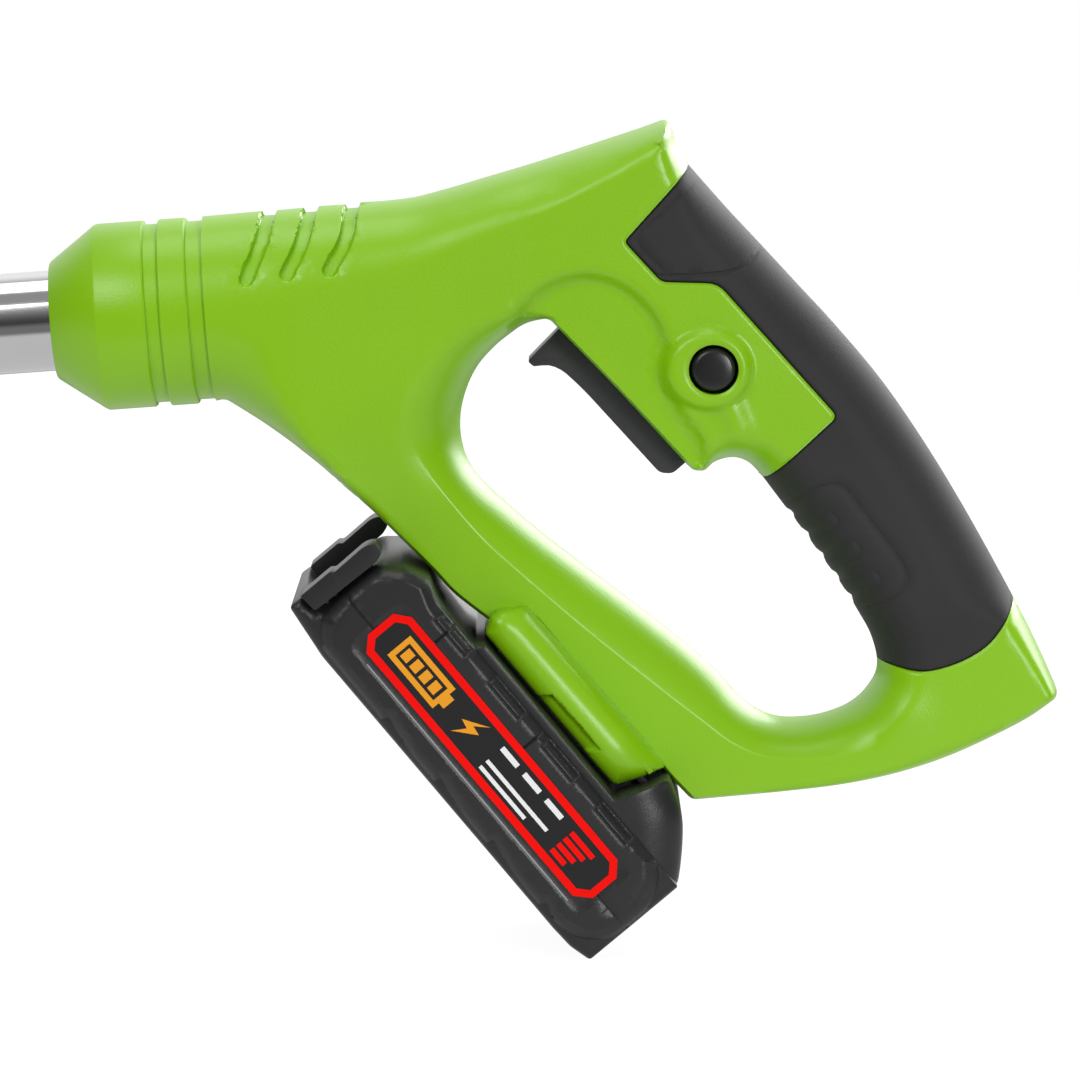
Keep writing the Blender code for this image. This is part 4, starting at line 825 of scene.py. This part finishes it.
def pack_panel():
    """The raised side panel, whose long lower edge has four shallow finger scallops."""
    low = []
    for k in range(4):
        a = 66.7 - k * TAB_PITCH * 0.985
        low += [(a, -29.9, 0.4), (a - 0.9, -31.6, 0.6), (a - 8.5, -31.5), (a - 18.4, -30.2)]
    return ring_of(PANEL + low[:-1], 1.3)


def pack_body():
    body = ring_of(
        [
            (-29.9, -31.2, 1.6), (-29.7, -27.6, 0.8), (-25.0, -26.8, 0.8), (-24.3, -9.0, 3.0),
            (-19.3, -3.2, 1.5), (-13.0, -0.7, 1.5), (-6.8, -2.7, 1.0), (84.8, -2.7, 0.8), (84.7, -31.1, 1.0),
            (79.0, -32.7, 1.5), (73.0, -33.0, 2.0), (-15.0, -33.0, 3.0),
        ],
        1.4,
    )
    panel = pack_panel()
    tabs = [
        ring_of([(a, -5.6, 0.3), (a + 11.4, -5.6, 0.3), (a + 11.4, -3.4, 0.3), (a, -3.4, 0.3)], 0.6)
        for a in (-4.6 + TAB_PITCH * k for k in range(4))
    ]
    lines = [((-30.0, -18.4), (-12.6, -18.4)), ((73.0, -18.9), (92.0, -18.9))]
    lines += [((a, -2.0), (a, -9.0)) for a in (-0.4, 33.5)]
    lines = [array(line) for line in lines]
    recess = ring_of([(-13.5, -26.0, 3), (74.0, -26.0, 3), (74.0, -8.4, 3), (-13.5, -8.4, 3)])
    soft = array([
        (-6.0, 2.0), (-13.0, -0.7), (-19.3, -3.2), (-24.3, -9.0), (-24.6, -26.8), (-29.7, -27.6),
        (-29.9, -31.2), (-15.0, -33.0), (73.0, -33.0), (79.0, -32.7), (85.1, -31.2), (84.8, -2.0),
    ])

    def level(p):
        depth = -signed(p, panel)
        wide = np.interp(p[:, 0], [-26, -16, 70, 84], [4.6, 2.8, 2.8, 4.2])
        h = 34.5 - 2.2 * (1 - quarter(distance(p, soft)[0] / 2.6))
        h = h + np.where(depth > 0, 2.9 * np.clip(0.14 + depth / wide, 0, 1) + 0.12 * ramp(depth, 0, 0.8), 0)
        h = h - 0.28 * (1 - ramp(signed(p, recess), -0.5, 0.0))
        for ring in tabs:
            h = h - 0.5 * np.exp(-((signed(p, ring) / 0.4) ** 2))
        for line in lines:
            h = h - 0.45 * (1 - ramp(distance(p, line)[0], 0.1, 0.42))
        return h

    extra = [edge_points(panel, (0.0, 0.3, 0.8, 1.6, 2.8, 4.2)), edge_points(recess, (0.05, 0.5))]
    extra += [line_points(np.vstack([ring, ring[:1]]), (0.0, 0.4, 0.8)) for ring in tabs]
    extra += [line_points(np.linspace(line[0], line[-1], 24), (0.0, 0.25, 0.45)) for line in lines]
    return join_halves(relief(body, level, 0.0, extra, pitch=1.8))


def merged(parts):
    made = bmesh.new()
    for part in parts:
        mesh = bpy.data.meshes.new("part")
        part.to_mesh(mesh)
        part.free()
        made.from_mesh(mesh)
        bpy.data.meshes.remove(mesh)
    return made


def join_halves(left):
    """Both sides from the left one, welded where they meet at y = 0."""
    whole = merged([mirrored(left), left])
    bmesh.ops.remove_doubles(whole, verts=whole.verts, dist=0.005)
    return whole


def pack_cover():
    ring = ring_of([
        (-18.6, -3.4, 0.4), (-13.0, -1.0, 0.8), (-7.0, -2.5, 0.6), (6.8, -2.5, 0.4), (8.4, -0.6, 0.5),
        (58.0, -0.6, 0.5), (60.4, 5.6), (63.0, 12.6, 2.0), (72.0, 9.8, 5.0), (80.4, 2.4, 5.0),
        (84.7, -2.6, 0.3), (84.7, -3.4, 0.2),
    ])
    end = [(62.0, 15.0), (65.0, 12.2), (72.0, 9.6), (80.4, 2.3), (84.7, -2.6), (85.2, -6.0)]
    outside = run_of(end, 1.5)

    def level(p):
        d = distance(p, outside)[0]
        return 34.4 - 7.5 * (1 - quarter(d / 11.0)) - 0.6 * (1 - quarter(distance(p, ring, True)[0] / 0.7))

    return join_halves(relief(ring, level, 0.0))


LABEL = [
    (-12.4, -20.4), (-12.4, -12.4), (-8.8, -9.4), (69.4, -9.4), (72.8, -12.6), (72.8, -20.2),
    (69.2, -23.6), (-9.2, -23.6),
]


def inset(ring, gap):
    """A convex ring of corners moved in by a gap."""
    points = [Vector(p) for p in ring]
    out = []
    for i, p in enumerate(points):
        a, b = (p - points[i - 1]).normalized(), (points[(i + 1) % len(points)] - p).normalized()
        n, m = Vector((a.y, -a.x)), Vector((b.y, -b.x))
        out.append(p + (n + m) / (1 + n.dot(m)) * gap)
    return [tuple(q) for q in out]


def pack_label(mats, side):
    """A plain label: a red border on near-black, with a battery sign, blank lines and charge bars, and under
    it a light grey line that paints a highlight along the recess's lower edge.
    """
    face = 37.2

    def layer(name, rings, lift, mat):
        made = merged([plate(ring, -(face + lift), -(face - 0.1), 0, 1, holes) for ring, holes in rings])
        if side == "right":
            flipped = mirrored(made)
            made.free()
            made = flipped
        return piece(f"{name}_{side}", made, "battery_pack", mat, PACK, smooth=False)

    def bar(a0, b0, a1, b1):
        return ([(a0, b0), (a1, b0), (a1, b1), (a0, b1)], ())

    border_in = inset(LABEL, 1.9)
    layer("label_field", [(border_in, ())], 0.10, mats["label"])
    layer("label_border", [(LABEL, [border_in])], 0.18, mats["red"])
    case = [
        (-5.6, -20.0), (11.6, -20.0), (11.6, -18.0), (13.4, -18.0),
        (13.4, -14.6), (11.6, -14.6), (11.6, -12.6), (-5.6, -12.6),
    ]
    room = [(-4.2, -18.6), (10.2, -18.6), (10.2, -14.0), (-4.2, -14.0)]
    bolt = [(18.6, -20.2), (24.0, -15.6), (21.4, -15.2), (24.4, -12.2), (18.2, -16.2), (20.8, -16.8)]
    cells = [bar(-3.4 + 3.4 * k, -17.8, -1.0 + 3.4 * k, -14.8) for k in range(4)]
    layer("label_sign", [(case, [room]), *cells, (bolt, ())], 0.18, mats["orange"])
    lines = [bar(30.0 + 8.4 * k, -14.0, 36.0 + 8.4 * k, -12.6) for k in range(3)]
    lines += [bar(30.0, -18.6, 52.8, -17.6), bar(30.0, -20.8, 47.0, -19.8)]
    layer("label_lines", lines, 0.18, mats["white"])
    charge = [bar(57.0, -20.8 + 2.1 * k, 62.0 + 1.1 * k, -19.4 + 2.1 * k) for k in range(4)]
    layer("label_charge", charge, 0.18, mats["red"])
    # a thin light grey line along the lower edge of the recess under the label: a painted highlight where
    # light catches that edge
    layer("label_edge", [bar(-7.0, -25.5, 69.4, -25.15)], 0.05, mats["grey"])


def build_pack(mats):
    tray = piece("pack_tray", pack_body(), "battery_pack", mats["pack"], PACK, angle=32)
    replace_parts(tray, "battery_tray")
    cover = piece("pack_cover", pack_cover(), "battery_pack", mats["pack"], PACK, angle=32)
    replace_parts(cover, "battery_cover")
    rail = [(13.4, -0.8), (61.6, -0.8), (61.6, 5.4), (61.6, 7.6), (13.4, 7.6), (13.4, 5.4)]
    piece("pack_rail", plate(rail, -18.6, 18.6, 0.4), "battery_pack", mats["pack"], PACK)
    flange = [(13.5, 5.5), (61.5, 5.5), (61.5, 7.5), (13.5, 7.5)]
    piece("pack_flange", plate(flange, -22.2, 22.2, 0.4), "battery_pack", mats["pack"], PACK)
    for side, sign in (("left", -1), ("right", 1)):
        pack_label(mats, side)
        ear = outline(
            [
                (-30.2, -27.0, 0.6), (-30.2, -17.6, 0.5), (-29.4, -16.8, 0.5), (-29.6, -6.4, 2.0),
                (-28.2, -4.7, 1.2),
                (-25.6, -4.8, 1.0), (-24.7, -7.4, 0.8), (-25.2, -26.6, 0.6),
            ],
            1.2,
        )
        y0, y1 = sorted((sign * 24.8, sign * 36.8))
        latch = piece(
            f"latch_{side}_ear", plate(ear, y0, y1, 1.0),
            f"latch_{side}", mats["pack"], PACK, angle=40,
        )
        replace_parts(latch, f"battery_latch_{side}")


def build_dock(mats):
    ring = ring_of(
        [
            (7.0, 0.4, 1.0), (4.8, 4.0, 1.2), (5.3, 7.4, 1.2), (9.0, 12.6, 1.5), (60.2, 13.6, 1.5),
            (61.6, 12.4, 1.0), (56.8, 0.4, 1.4),
        ],
        1.1,
    )
    upper = array([(9.0, 12.6), (60.2, 13.6)])
    dent = ring_of([(25.0, -3.0, 0.3), (28.9, 3.7, 0.4), (47.4, 4.1, 0.5), (43.0, -3.0, 0.3)], 1.0)

    def level(p):
        near = distance(p, ring, True)[0]
        d_up = distance(p, upper)[0]
        low_end = ramp(p[:, 0], 48.0, 61.0)
        h = 27.4 - 3.2 * (1 - quarter(near / 3.6)) - 9.0 * (1 - quarter(d_up / 8.4)) - 2.2 * low_end
        h = h - 1.1 * ramp(p[:, 1], 0, -8) - 0.9 * (1 - ramp(p[:, 1], 1.0, 6.5))
        d = signed(p, dent)
        return h - 1.5 * (1 - ramp(d, -0.55, 0.1))

    left = relief(ring, level, 15.0, [edge_points(dent, (0.05, 0.35, 0.7))], pitch=1.3)
    right = mirrored(left)
    made = []
    for side, bm in (("left", left), ("right", right)):
        made.append(piece(f"dock_{side}", bm, "handle", mats["green"], PACK, angle=40))
    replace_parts(made[0], "battery_dock")
    roof = [(8.0, 8.9), (60.0, 8.9), (60.0, 10.2), (8.0, 10.2)]
    piece("dock_roof", plate(roof, -24.0, 24.0, 0.2), "handle", mats["green"], PACK)


# ---- shaft -----------------------------------------------------------------------------------------
def build_shaft(mats):
    tube = [(-391.8, 11.0), (-391.8, 12.3), (-391.6, 12.5), (20.0, 12.5), (20.0, 11.0)]
    outer = lathe(tube, (0, 0, 0), (1, 0, 0), 128)
    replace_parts(piece("tube_outer", outer, "handle", mats["chrome"], angle=25), "outer_tube")
    tube = [(-640.0, 9.8), (-640.0, 10.9), (-130.0, 10.9), (-130.0, 9.8)]
    inner = lathe(tube, (0, 0, 0), (1, 0, 0), 96)
    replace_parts(piece("tube_inner", inner, "lower_shaft", mats["chrome"], angle=25), "inner_tube")
    build_collar(mats)


COLLAR_REAR, COLLAR_R = -378.0, 18.2


def build_collar(mats):
    """The ferrule on the outer tube and the ribbed twist collar in front of it."""
    ring = [
        (0.0, 12.85), (0.0, 15.0), (-0.6, 15.6), (-23.4, 15.6), (-24.0, 15.2), (-24.0, 14.4), (-31.0, 14.4),
        (-31.0, 11.2), (-15.4, 11.2), (-15.4, 12.85), (0.0, 12.85),
    ]
    origin = (COLLAR_REAR, 0, 0)
    sleeve = lathe(ring, origin, (1, 0, 0))
    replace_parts(piece("ferrule", sleeve, "handle", mats["black"]), "tube_ferrule")
    ring = [
        (-24.4, 14.8), (-24.4, 16.2), (-25.0, 17.4), (-26.4, 18.4), (-28.0, 18.6), (-49.6, COLLAR_R),
        (-50.6, 17.8),
        (-53.6, 14.4), (-54.0, 13.8), (-54.0, 11.3), (-31.6, 11.3), (-31.6, 14.8), (-24.4, 14.8),
    ]
    parts = [lathe(ring, origin, (1, 0, 0))]
    for i in range(8):
        turn = math.radians(45 * i + 10)
        foot = (COLLAR_REAR - 46.5, COLLAR_R * math.cos(turn), COLLAR_R * math.sin(turn))
        parts.append(lathe(capsule(19.0, 1.6), foot, (1, 0, 0), 20))
    collar = piece("collar_ribbed", merged(parts), "collar", mats["green"])
    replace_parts(collar, "twist_collar")


def capsule(length, radius, end=0.8):
    """Profile of a bar with rounded ends."""
    turns = [math.pi / 2 * k / 4 for k in range(5)]
    near = [(end * (1 - math.cos(t)), radius * math.sin(t)) for t in turns]
    return near + [(length - along, r) for along, r in reversed(near)]


def centre(node):
    """The middle of a CAD node's box, in the tool frame."""
    low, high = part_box(node)
    return TOOL.inverted() @ ((Vector(low) + Vector(high)) / 2)


def flat_tube(path, x, radius, sides=28):
    """A round tube along a path that lies across the tool, at one x."""
    bm = bmesh.new()
    run = np.gradient(path, axis=0)
    run /= np.linalg.norm(run, axis=1)[:, None]
    rings = []
    for (y, z), (ty, tz) in zip(path, run):
        ring = []
        for k in range(sides):
            turn = 2 * math.pi * k / sides
            up = radius * math.sin(turn)
            ring.append(bm.verts.new((x + radius * math.cos(turn), y - tz * up, z + ty * up)))
        rings.append(ring)
    for one, two in zip(rings, rings[1:]):
        for k in range(sides):
            bm.faces.new((one[k], one[(k + 1) % sides], two[(k + 1) % sides], two[k]))
    bm.faces.new(rings[0])
    bm.faces.new(rings[-1])
    bmesh.ops.recalc_face_normals(bm, faces=bm.faces)
    return bm


def build_second_handle(mats):
    grip, knob = centre("aux_grip"), centre("aux_knob")
    x, low, bar = grip.x, knob.z, grip.z
    half, tube = 58.96, 6.95
    path = [
        (-26.2, low + 27), (-33, low + 36), (-46, low + 45), (-half, low + 57), (-half, low + 74),
        (-half + 7, bar - 2.5), (-46, bar), (-30, bar),
    ]
    path += [(-y, z) for y, z in reversed(path)]
    ear = outline(
        [
            (x - 9, low - 11, 8), (x + 9, low - 11, 8), (x + 12, low, 4), (x + 7.5, low + 35, 5),
            (x - 7.5, low + 35, 5), (x - 12, low, 4),
        ],
        1.5, 8,
    )
    parts = [flat_tube(array(smooth_run(path, False, 2.5)), x, tube)]
    eye = [turn_ring((x, low), 4.4, 32)]
    parts += [plate(ear, *sorted((side * 21.6, side * 28.8)), 1.2, 3, eye) for side in (-1, 1)]
    loop = piece("second_loop", merged(parts), "second_handle", mats["black"])
    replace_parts(loop, "aux_loop")
    ring = [(0.0, 7.4), (0.0, 12.2), (0.8, 12.95), (3.6, 12.95), (4.2, 12.2)]
    for k in range(12):
        start = 5.4 + 5.8 * k
        ring += [(start, 12.2), (start + 0.7, 12.9), (start + 4.3, 12.9), (start + 5.0, 12.2)]
    ring += [(75.8, 12.2), (76.4, 12.95), (79.2, 12.95), (80.0, 12.2), (80.0, 7.4)]
    sleeve = lathe(ring, (x, -40, bar), (0, 1, 0), 72)
    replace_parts(piece("second_grip", sleeve, "second_handle", mats["rubber"], angle=28), "aux_grip")
    turns = np.linspace(0, 2 * np.pi, 120, endpoint=False)
    lobes = 12.5 + 2.0 * np.cos(6 * turns)
    star = np.stack([x + lobes * np.cos(turns), low + lobes * np.sin(turns)], 1)
    cap = [(0, 0), (0, 8.2), (4.6, 7.6), (5.6, 6.6), (6.0, 5.4), (6.0, 0)]
    parts = [plate(star, 30.8, 40.8, 1.2, 4), lathe(cap, (x, 37.0, low), (0, 1, 0), 48)]
    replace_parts(piece("knob_star", merged(parts), "knob", mats["black"]), "aux_knob")


TREAD = 40


def build_wheels(mats):
    """Treaded tyres on dished rims with five ribs, and the carrier between them."""
    wheel = centre("wheel_tyre_left")
    pivot = centre("arm_bolt")
    tyre = [
        (0.4, 26.9), (0.0, 28.5), (0.2, 31.2), (1.0, 32.8), (2.6, 33.8), (4.8, 34.0), (5.1, 33.1),
        (5.9, 33.1), (6.2, 34.0),
        (11.8, 34.0), (12.1, 33.1), (12.9, 33.1), (13.2, 34.0), (15.4, 33.8), (17.0, 32.8),
        (17.8, 31.2), (18.0, 28.5),
        (17.6, 26.9), (0.4, 26.9),
    ]
    rim = [
        (0.6, 4.2), (0.4, 4.6), (0.4, 8.6), (0.8, 9.2), (5.0, 10.2), (5.0, 21.4), (1.0, 23.4),
        (0.8, 24.0), (0.8, 26.6),
        (17.2, 26.6), (17.2, 24.0), (17.0, 23.4), (13.0, 21.4), (13.0, 10.2), (17.2, 9.2), (17.6, 8.6),
        (17.6, 4.6),
        (17.4, 4.2), (0.6, 4.2),
    ]
    for side, sign in (("left", -1), ("right", 1)):
        y0 = min(sign * 24.0, sign * 42.0)
        bm = lathe(tyre, (wheel.x, y0, wheel.z), (0, 1, 0), TREAD * 4)
        for v in bm.verts:
            dx, dz = v.co.x - wheel.x, v.co.z - wheel.z
            turn = round(math.atan2(dz, dx) / (2 * math.pi) * TREAD * 4)
            if math.hypot(dx, dz) > 33.4 and turn % 4 == 0:
                v.co.x, v.co.z = wheel.x + dx * 0.97, wheel.z + dz * 0.97
        obj = piece(f"tyre_{side}", bm, f"wheel_{side}", mats["tyre"], angle=25)
        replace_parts(obj, f"wheel_tyre_{side}")
        parts = [lathe(rim, (wheel.x, y0, wheel.z), (0, 1, 0), 80)]
        for k in range(5):
            turn = math.radians(72 * k + 90)
            along = Vector((math.cos(turn), math.sin(turn)))
            across = Vector((-along.y, along.x))
            hub = Vector((wheel.x, wheel.z))
            corners = ((9.6, -2.6), (22.0, -1.7), (22.0, 1.7), (9.6, 2.6))
            bar = [hub + along * a + across * c for a, c in corners]
            near = y0 + (12.8 if sign > 0 else 2.6)
            parts.append(plate(bar, near, near + 2.6, 0.6))
        obj = piece(f"rim_{side}", merged(parts), f"wheel_{side}", mats["green"], angle=28)
        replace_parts(obj, f"wheel_rim_{side}")
    cheek = outline(
        [
            (pivot.x - 7, pivot.z + 5, 5), (pivot.x + 7, pivot.z + 5, 5), (wheel.x + 9, wheel.z + 5, 7),
            (wheel.x - 7, wheel.z - 9, 7),
        ],
        1.5, 8,
    )
    parts = [plate(cheek, *sorted((s * 9.4, s * 14.0)), 1.0, 3) for s in (-1, 1)]
    parts.append(lathe(capsule(43.2, 7.6), (wheel.x, -21.6, wheel.z), (0, 1, 0), 48))
    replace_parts(piece("carrier", merged(parts), "wheel_carrier", mats["black"]), "wheel_arm")
    axle = lathe(capsule(92.0, 4.0), (wheel.x, -46.0, wheel.z), (0, 1, 0), 40)
    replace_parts(piece("axle_round", axle, "wheel_carrier", mats["steel"]), "wheel_axle")


HEAD = (-715.0, 0.0)
HEAD_R, HEAD_HALF = 34.0, 34.0


def arc(start, end, radius, origin=HEAD, step=3.0):
    count = max(2, round(abs(end - start) / step))
    turns = [math.radians(start + (end - start) * k / count) for k in range(count + 1)]
    return [(origin[0] + radius * math.cos(t), origin[1] + radius * math.sin(t)) for t in turns]


def build_head(mats):
    """The motor pod in two shells, the neck, the blade and its guard."""
    x = HEAD[0]
    mouth = [*arc(-60, 0, 3, (-685.6, -17.2), 15), *arc(0, 60, 3, (-685.6, 17.2), 15)]
    ring = array([*arc(40, 320, HEAD_R), *mouth])
    slots = [
        ring_of([(x - 16, z, 1.6), (x + 16, z, 1.6), (x + 16, z + 3.4, 1.6), (x - 16, z + 3.4, 1.6)], 1.5)
        for z in range(-16, 17, 8)
    ]

    def level(p):
        d = distance(p, ring, True)[0]
        r = np.hypot(p[:, 0] - x, p[:, 1])
        return HEAD_HALF - 5.0 * (1 - quarter(d / 5.0)) - 0.5 * (1 - ramp(np.abs(r - 27.0), 0.2, 0.6))

    collar = [(-686.0, 18.6), (-669.0, 18.6), (-668.4, 18.0), (-668.4, 12.3)]
    for side, start, sign in (("left", -180.0, -1), ("right", 0.0, 1)):
        holes = slots if side == "right" else [array(turn_ring(HEAD, 11.35, 64))]
        extra = [array(turn_ring(HEAD, radius, 90)) for radius in (26.4, 26.8, 27.2, 27.6)]
        extra += [edge_points(hole, (0.4,)) for hole in holes]
        pod = relief(ring, level, 0.15, extra, pitch=2.4, holes=holes)
        if side == "right":
            pod = mirrored(pod)
        parts = [pod, lathe(collar, (0, 0, 0), (1, 0, 0), 48, start, 180.0)]
        low = [v for v in parts[1].verts if v.co.y * sign > 0.01]
        if len(low) < len(parts[1].verts) / 2:
            bmesh.ops.scale(parts[1], vec=(1, -1, 1), verts=parts[1].verts)
            bmesh.ops.reverse_faces(parts[1], faces=parts[1].faces)
        for angle in (60, 180, 300):
            foot = Vector(arc(angle, angle, 39.2)[0])
            y0 = 0.15 if sign > 0 else -12.0
            parts.append(lathe(capsule(11.85, 4.4, 1.0), (foot.x, y0, foot.y), (0, 1, 0), 32))
            corners = ((-7, 32), (7, 32), (6, 39.2), (-6, 39.2))
            web = [arc(angle + turn, angle + turn, radius)[0] for turn, radius in corners]
            parts.append(plate(web, *sorted((sign * 0.2, sign * 11.0)), 0.8))
        obj = piece(f"pod_{side}", merged(parts), "head", mats["green"], angle=32)
        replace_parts(obj, f"head_shell_{side}")
    build_neck(mats)
    turns = np.linspace(-0.26, 0.26, 13)
    tips = [(x + 85.0 * s * math.cos(t), 85.0 * s * math.sin(t)) for s in (1, -1) for t in turns]
    blade = plate(tips, -52.0, -50.0, 0.85, 1, [turn_ring(HEAD, 4.15, 36)])
    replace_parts(piece("blade_bar", blade, "cutter", mats["blade"], angle=20), "edging_blade")
    band = arc(-8, 152, 94.6) + arc(152, -8, 92.0)
    web = arc(-7, 151, 93.2) + arc(212, 300, 30.0)
    hole = [turn_ring(HEAD, 17.0, 48)]
    parts = [plate(band, -63.0, -34.6, 0.8, 3), plate(web, -37.0, -34.4, 0.5, 2, hole)]
    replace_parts(piece("guard_skirt", merged(parts), "head", mats["black"]), "blade_guard")


def build_neck(mats):
    ring = [
        (-600.0, 11.25), (-600.0, 13.4), (-600.6, 14.0), (-605.4, 16.0), (-606.6, 16.5), (-654.4, 19.0),
        (-667.4, 19.0),
        (-668.0, 18.4), (-668.0, 12.6), (-641.0, 12.6), (-641.0, 11.25), (-600.0, 11.25),
    ]
    pivot = centre("arm_bolt")
    top, low = -14, pivot.z - 5
    corners = [(pivot.x - 10, top, 1), (pivot.x + 16, top, 1), (pivot.x + 7, low, 5), (pivot.x - 7, low, 5)]
    lug = outline(corners, 1.5, 8)
    parts = [lathe(ring, (0, 0, 0), (1, 0, 0)), plate(lug, -9.0, 9.0, 1.0, 3)]
    neck = piece("neck_turned", merged(parts), "lower_shaft", mats["green"])
    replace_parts(neck, "neck_socket")


# ---- stage -----------------------------------------------------------------------------------------
def area_light(name, place, target, size, power, size_y=None):
    data = bpy.data.lights.new(name, "AREA")
    data.energy = power
    data.shape = "RECTANGLE" if size_y else "SQUARE"
    data.size = size
    if size_y:
        data.size_y = size_y
    obj = link(bpy.data.objects.new(name, data))
    obj.location = place
    obj.rotation_euler = (Vector(target) - Vector(place)).to_track_quat("-Z", "Y").to_euler()
    obj.visible_camera = False


SKY = (0.05, 0.80, 0.07, 0.42)
BACKDROP = (0.20, 0.75, 0.0, 0.95)


def build_stage():
    bm = bmesh.new()
    bmesh.ops.create_grid(bm, x_segments=1, y_segments=1, size=30.0)
    mesh = bpy.data.meshes.new("floor")
    bm.to_mesh(mesh)
    bm.free()
    floor = link(bpy.data.objects.new("floor", mesh))
    floor.location = (0, 0, -0.0005)
    white = bpy.data.materials.new("floor_white")
    white.use_nodes = True
    nodes, links = white.node_tree.nodes, white.node_tree.links
    shader = nodes["Principled BSDF"]
    shader.inputs["Base Color"].default_value = (0.12, 0.12, 0.12, 1)
    shader.inputs["Roughness"].default_value = 1.0
    shader.inputs["Specular IOR Level"].default_value = 0.0
    shader.inputs["Emission Color"].default_value = (1, 1, 1, 1)
    place = nodes.new("ShaderNodeTexCoord")
    split = nodes.new("ShaderNodeSeparateXYZ")
    links.new(place.outputs["Object"], split.inputs["Vector"])
    reach = nodes.new("ShaderNodeMath")
    reach.operation = "ABSOLUTE"
    links.new(split.outputs["Y"], reach.inputs[0])
    bounce = nodes.new("ShaderNodeMapRange")
    for name, value in (("From Min", 0.30), ("From Max", 0.42), ("To Min", 0.66), ("To Max", 0.08)):
        bounce.inputs[name].default_value = value
    links.new(reach.outputs[0], bounce.inputs["Value"])
    seen(nodes, links, bounce.outputs["Result"], 0.94, shader.inputs["Emission Strength"])
    mesh.materials.append(white)
    world = bpy.data.worlds.new("studio")
    bpy.context.scene.world = world
    world.use_nodes = True
    nodes, links = world.node_tree.nodes, world.node_tree.links
    nodes["Background"].inputs["Color"].default_value = (1, 1, 1, 1)
    place = nodes.new("ShaderNodeTexCoord")
    split = nodes.new("ShaderNodeSeparateXYZ")
    links.new(place.outputs["Generated"], split.inputs["Vector"])
    strength = None
    for axis, pairs in (("Z", SKY), ("Y", BACKDROP)):
        part = nodes.new("ShaderNodeMapRange")
        part.interpolation_type = "SMOOTHSTEP"
        for name, value in zip(("From Min", "From Max", "To Min", "To Max"), pairs):
            part.inputs[name].default_value = value
        links.new(split.outputs[axis], part.inputs["Value"])
        if strength is None:
            strength = part.outputs["Result"]
        else:
            both = nodes.new("ShaderNodeMath")
            links.new(strength, both.inputs[0])
            links.new(part.outputs["Result"], both.inputs[1])
            strength = both.outputs[0]
    seen(nodes, links, strength, 1.0, nodes["Background"].inputs["Strength"])
    middle = TOOL @ Vector((120, 0, -40))
    area_light("key", middle + Vector((0.85, -1.65, 0.30)), middle, 0.4, 14.0, 0.55)
    area_light("fill", middle + Vector((-0.85, -1.3, 1.05)), middle, 0.9, 12.0, 0.8)
    area_light("rim", middle + Vector((1.05, 1.15, 0.62)), middle, 1.5, 24.0, 0.9)
    area_light("top", middle + Vector((0.0, 0.1, 1.6)), middle, 0.9, 7.0)
    bpy.context.scene.view_settings.view_transform = "Standard"


def seen(nodes, links, lighting, shown, target):
    """Feeds a strength that is one value where it is seen directly and another where it lights the object."""
    path = nodes.new("ShaderNodeLightPath")
    mix = nodes.new("ShaderNodeMix")
    mix.data_type = "FLOAT"
    mix.inputs["B"].default_value = shown
    links.new(path.outputs["Is Camera Ray"], mix.inputs["Factor"])
    links.new(lighting, mix.inputs["A"])
    links.new(mix.outputs["Result"], target)


def build_camera():
    """Looks along +Y, a little down, at the middle of the picture."""
    data = bpy.data.cameras.new("camera")
    data.sensor_width = 36.0
    data.lens = 200.0
    data.clip_start, data.clip_end = 0.05, 60.0
    camera = link(bpy.data.objects.new("camera", data))
    nose = TOOL @ Vector((0, 0, 0))
    target = nose + Vector((0.1215, 0, -0.05498))
    tilt = math.radians(6.5)
    away = 1.5
    camera.location = target + Vector((0, -math.cos(tilt), math.sin(tilt))) * away
    camera.rotation_euler = (math.pi / 2 - tilt, 0, 0)
    bpy.context.scene.camera = camera


def main():
    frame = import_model()
    mats = make_materials()
    slots = {
        "green_plastic": "green", "black_plastic": "black", "rubber": "rubber", "steel": "steel",
        "chrome": "chrome", "board": "board",
    }
    names = {s["node"]: s["material_slot"] for s in frame["record"]["subparts"]}
    for node, obj in frame["nodes"].items():
        obj.data.materials.clear()
        obj.data.materials.append(mats[slots[names[node]]])
    build_handle(mats)
    build_nose(mats)
    build_controls(mats)
    build_pack(mats)
    build_dock(mats)
    build_shaft(mats)
    build_second_handle(mats)
    build_wheels(mats)
    build_head(mats)
    build_stage()
    build_camera()


main()
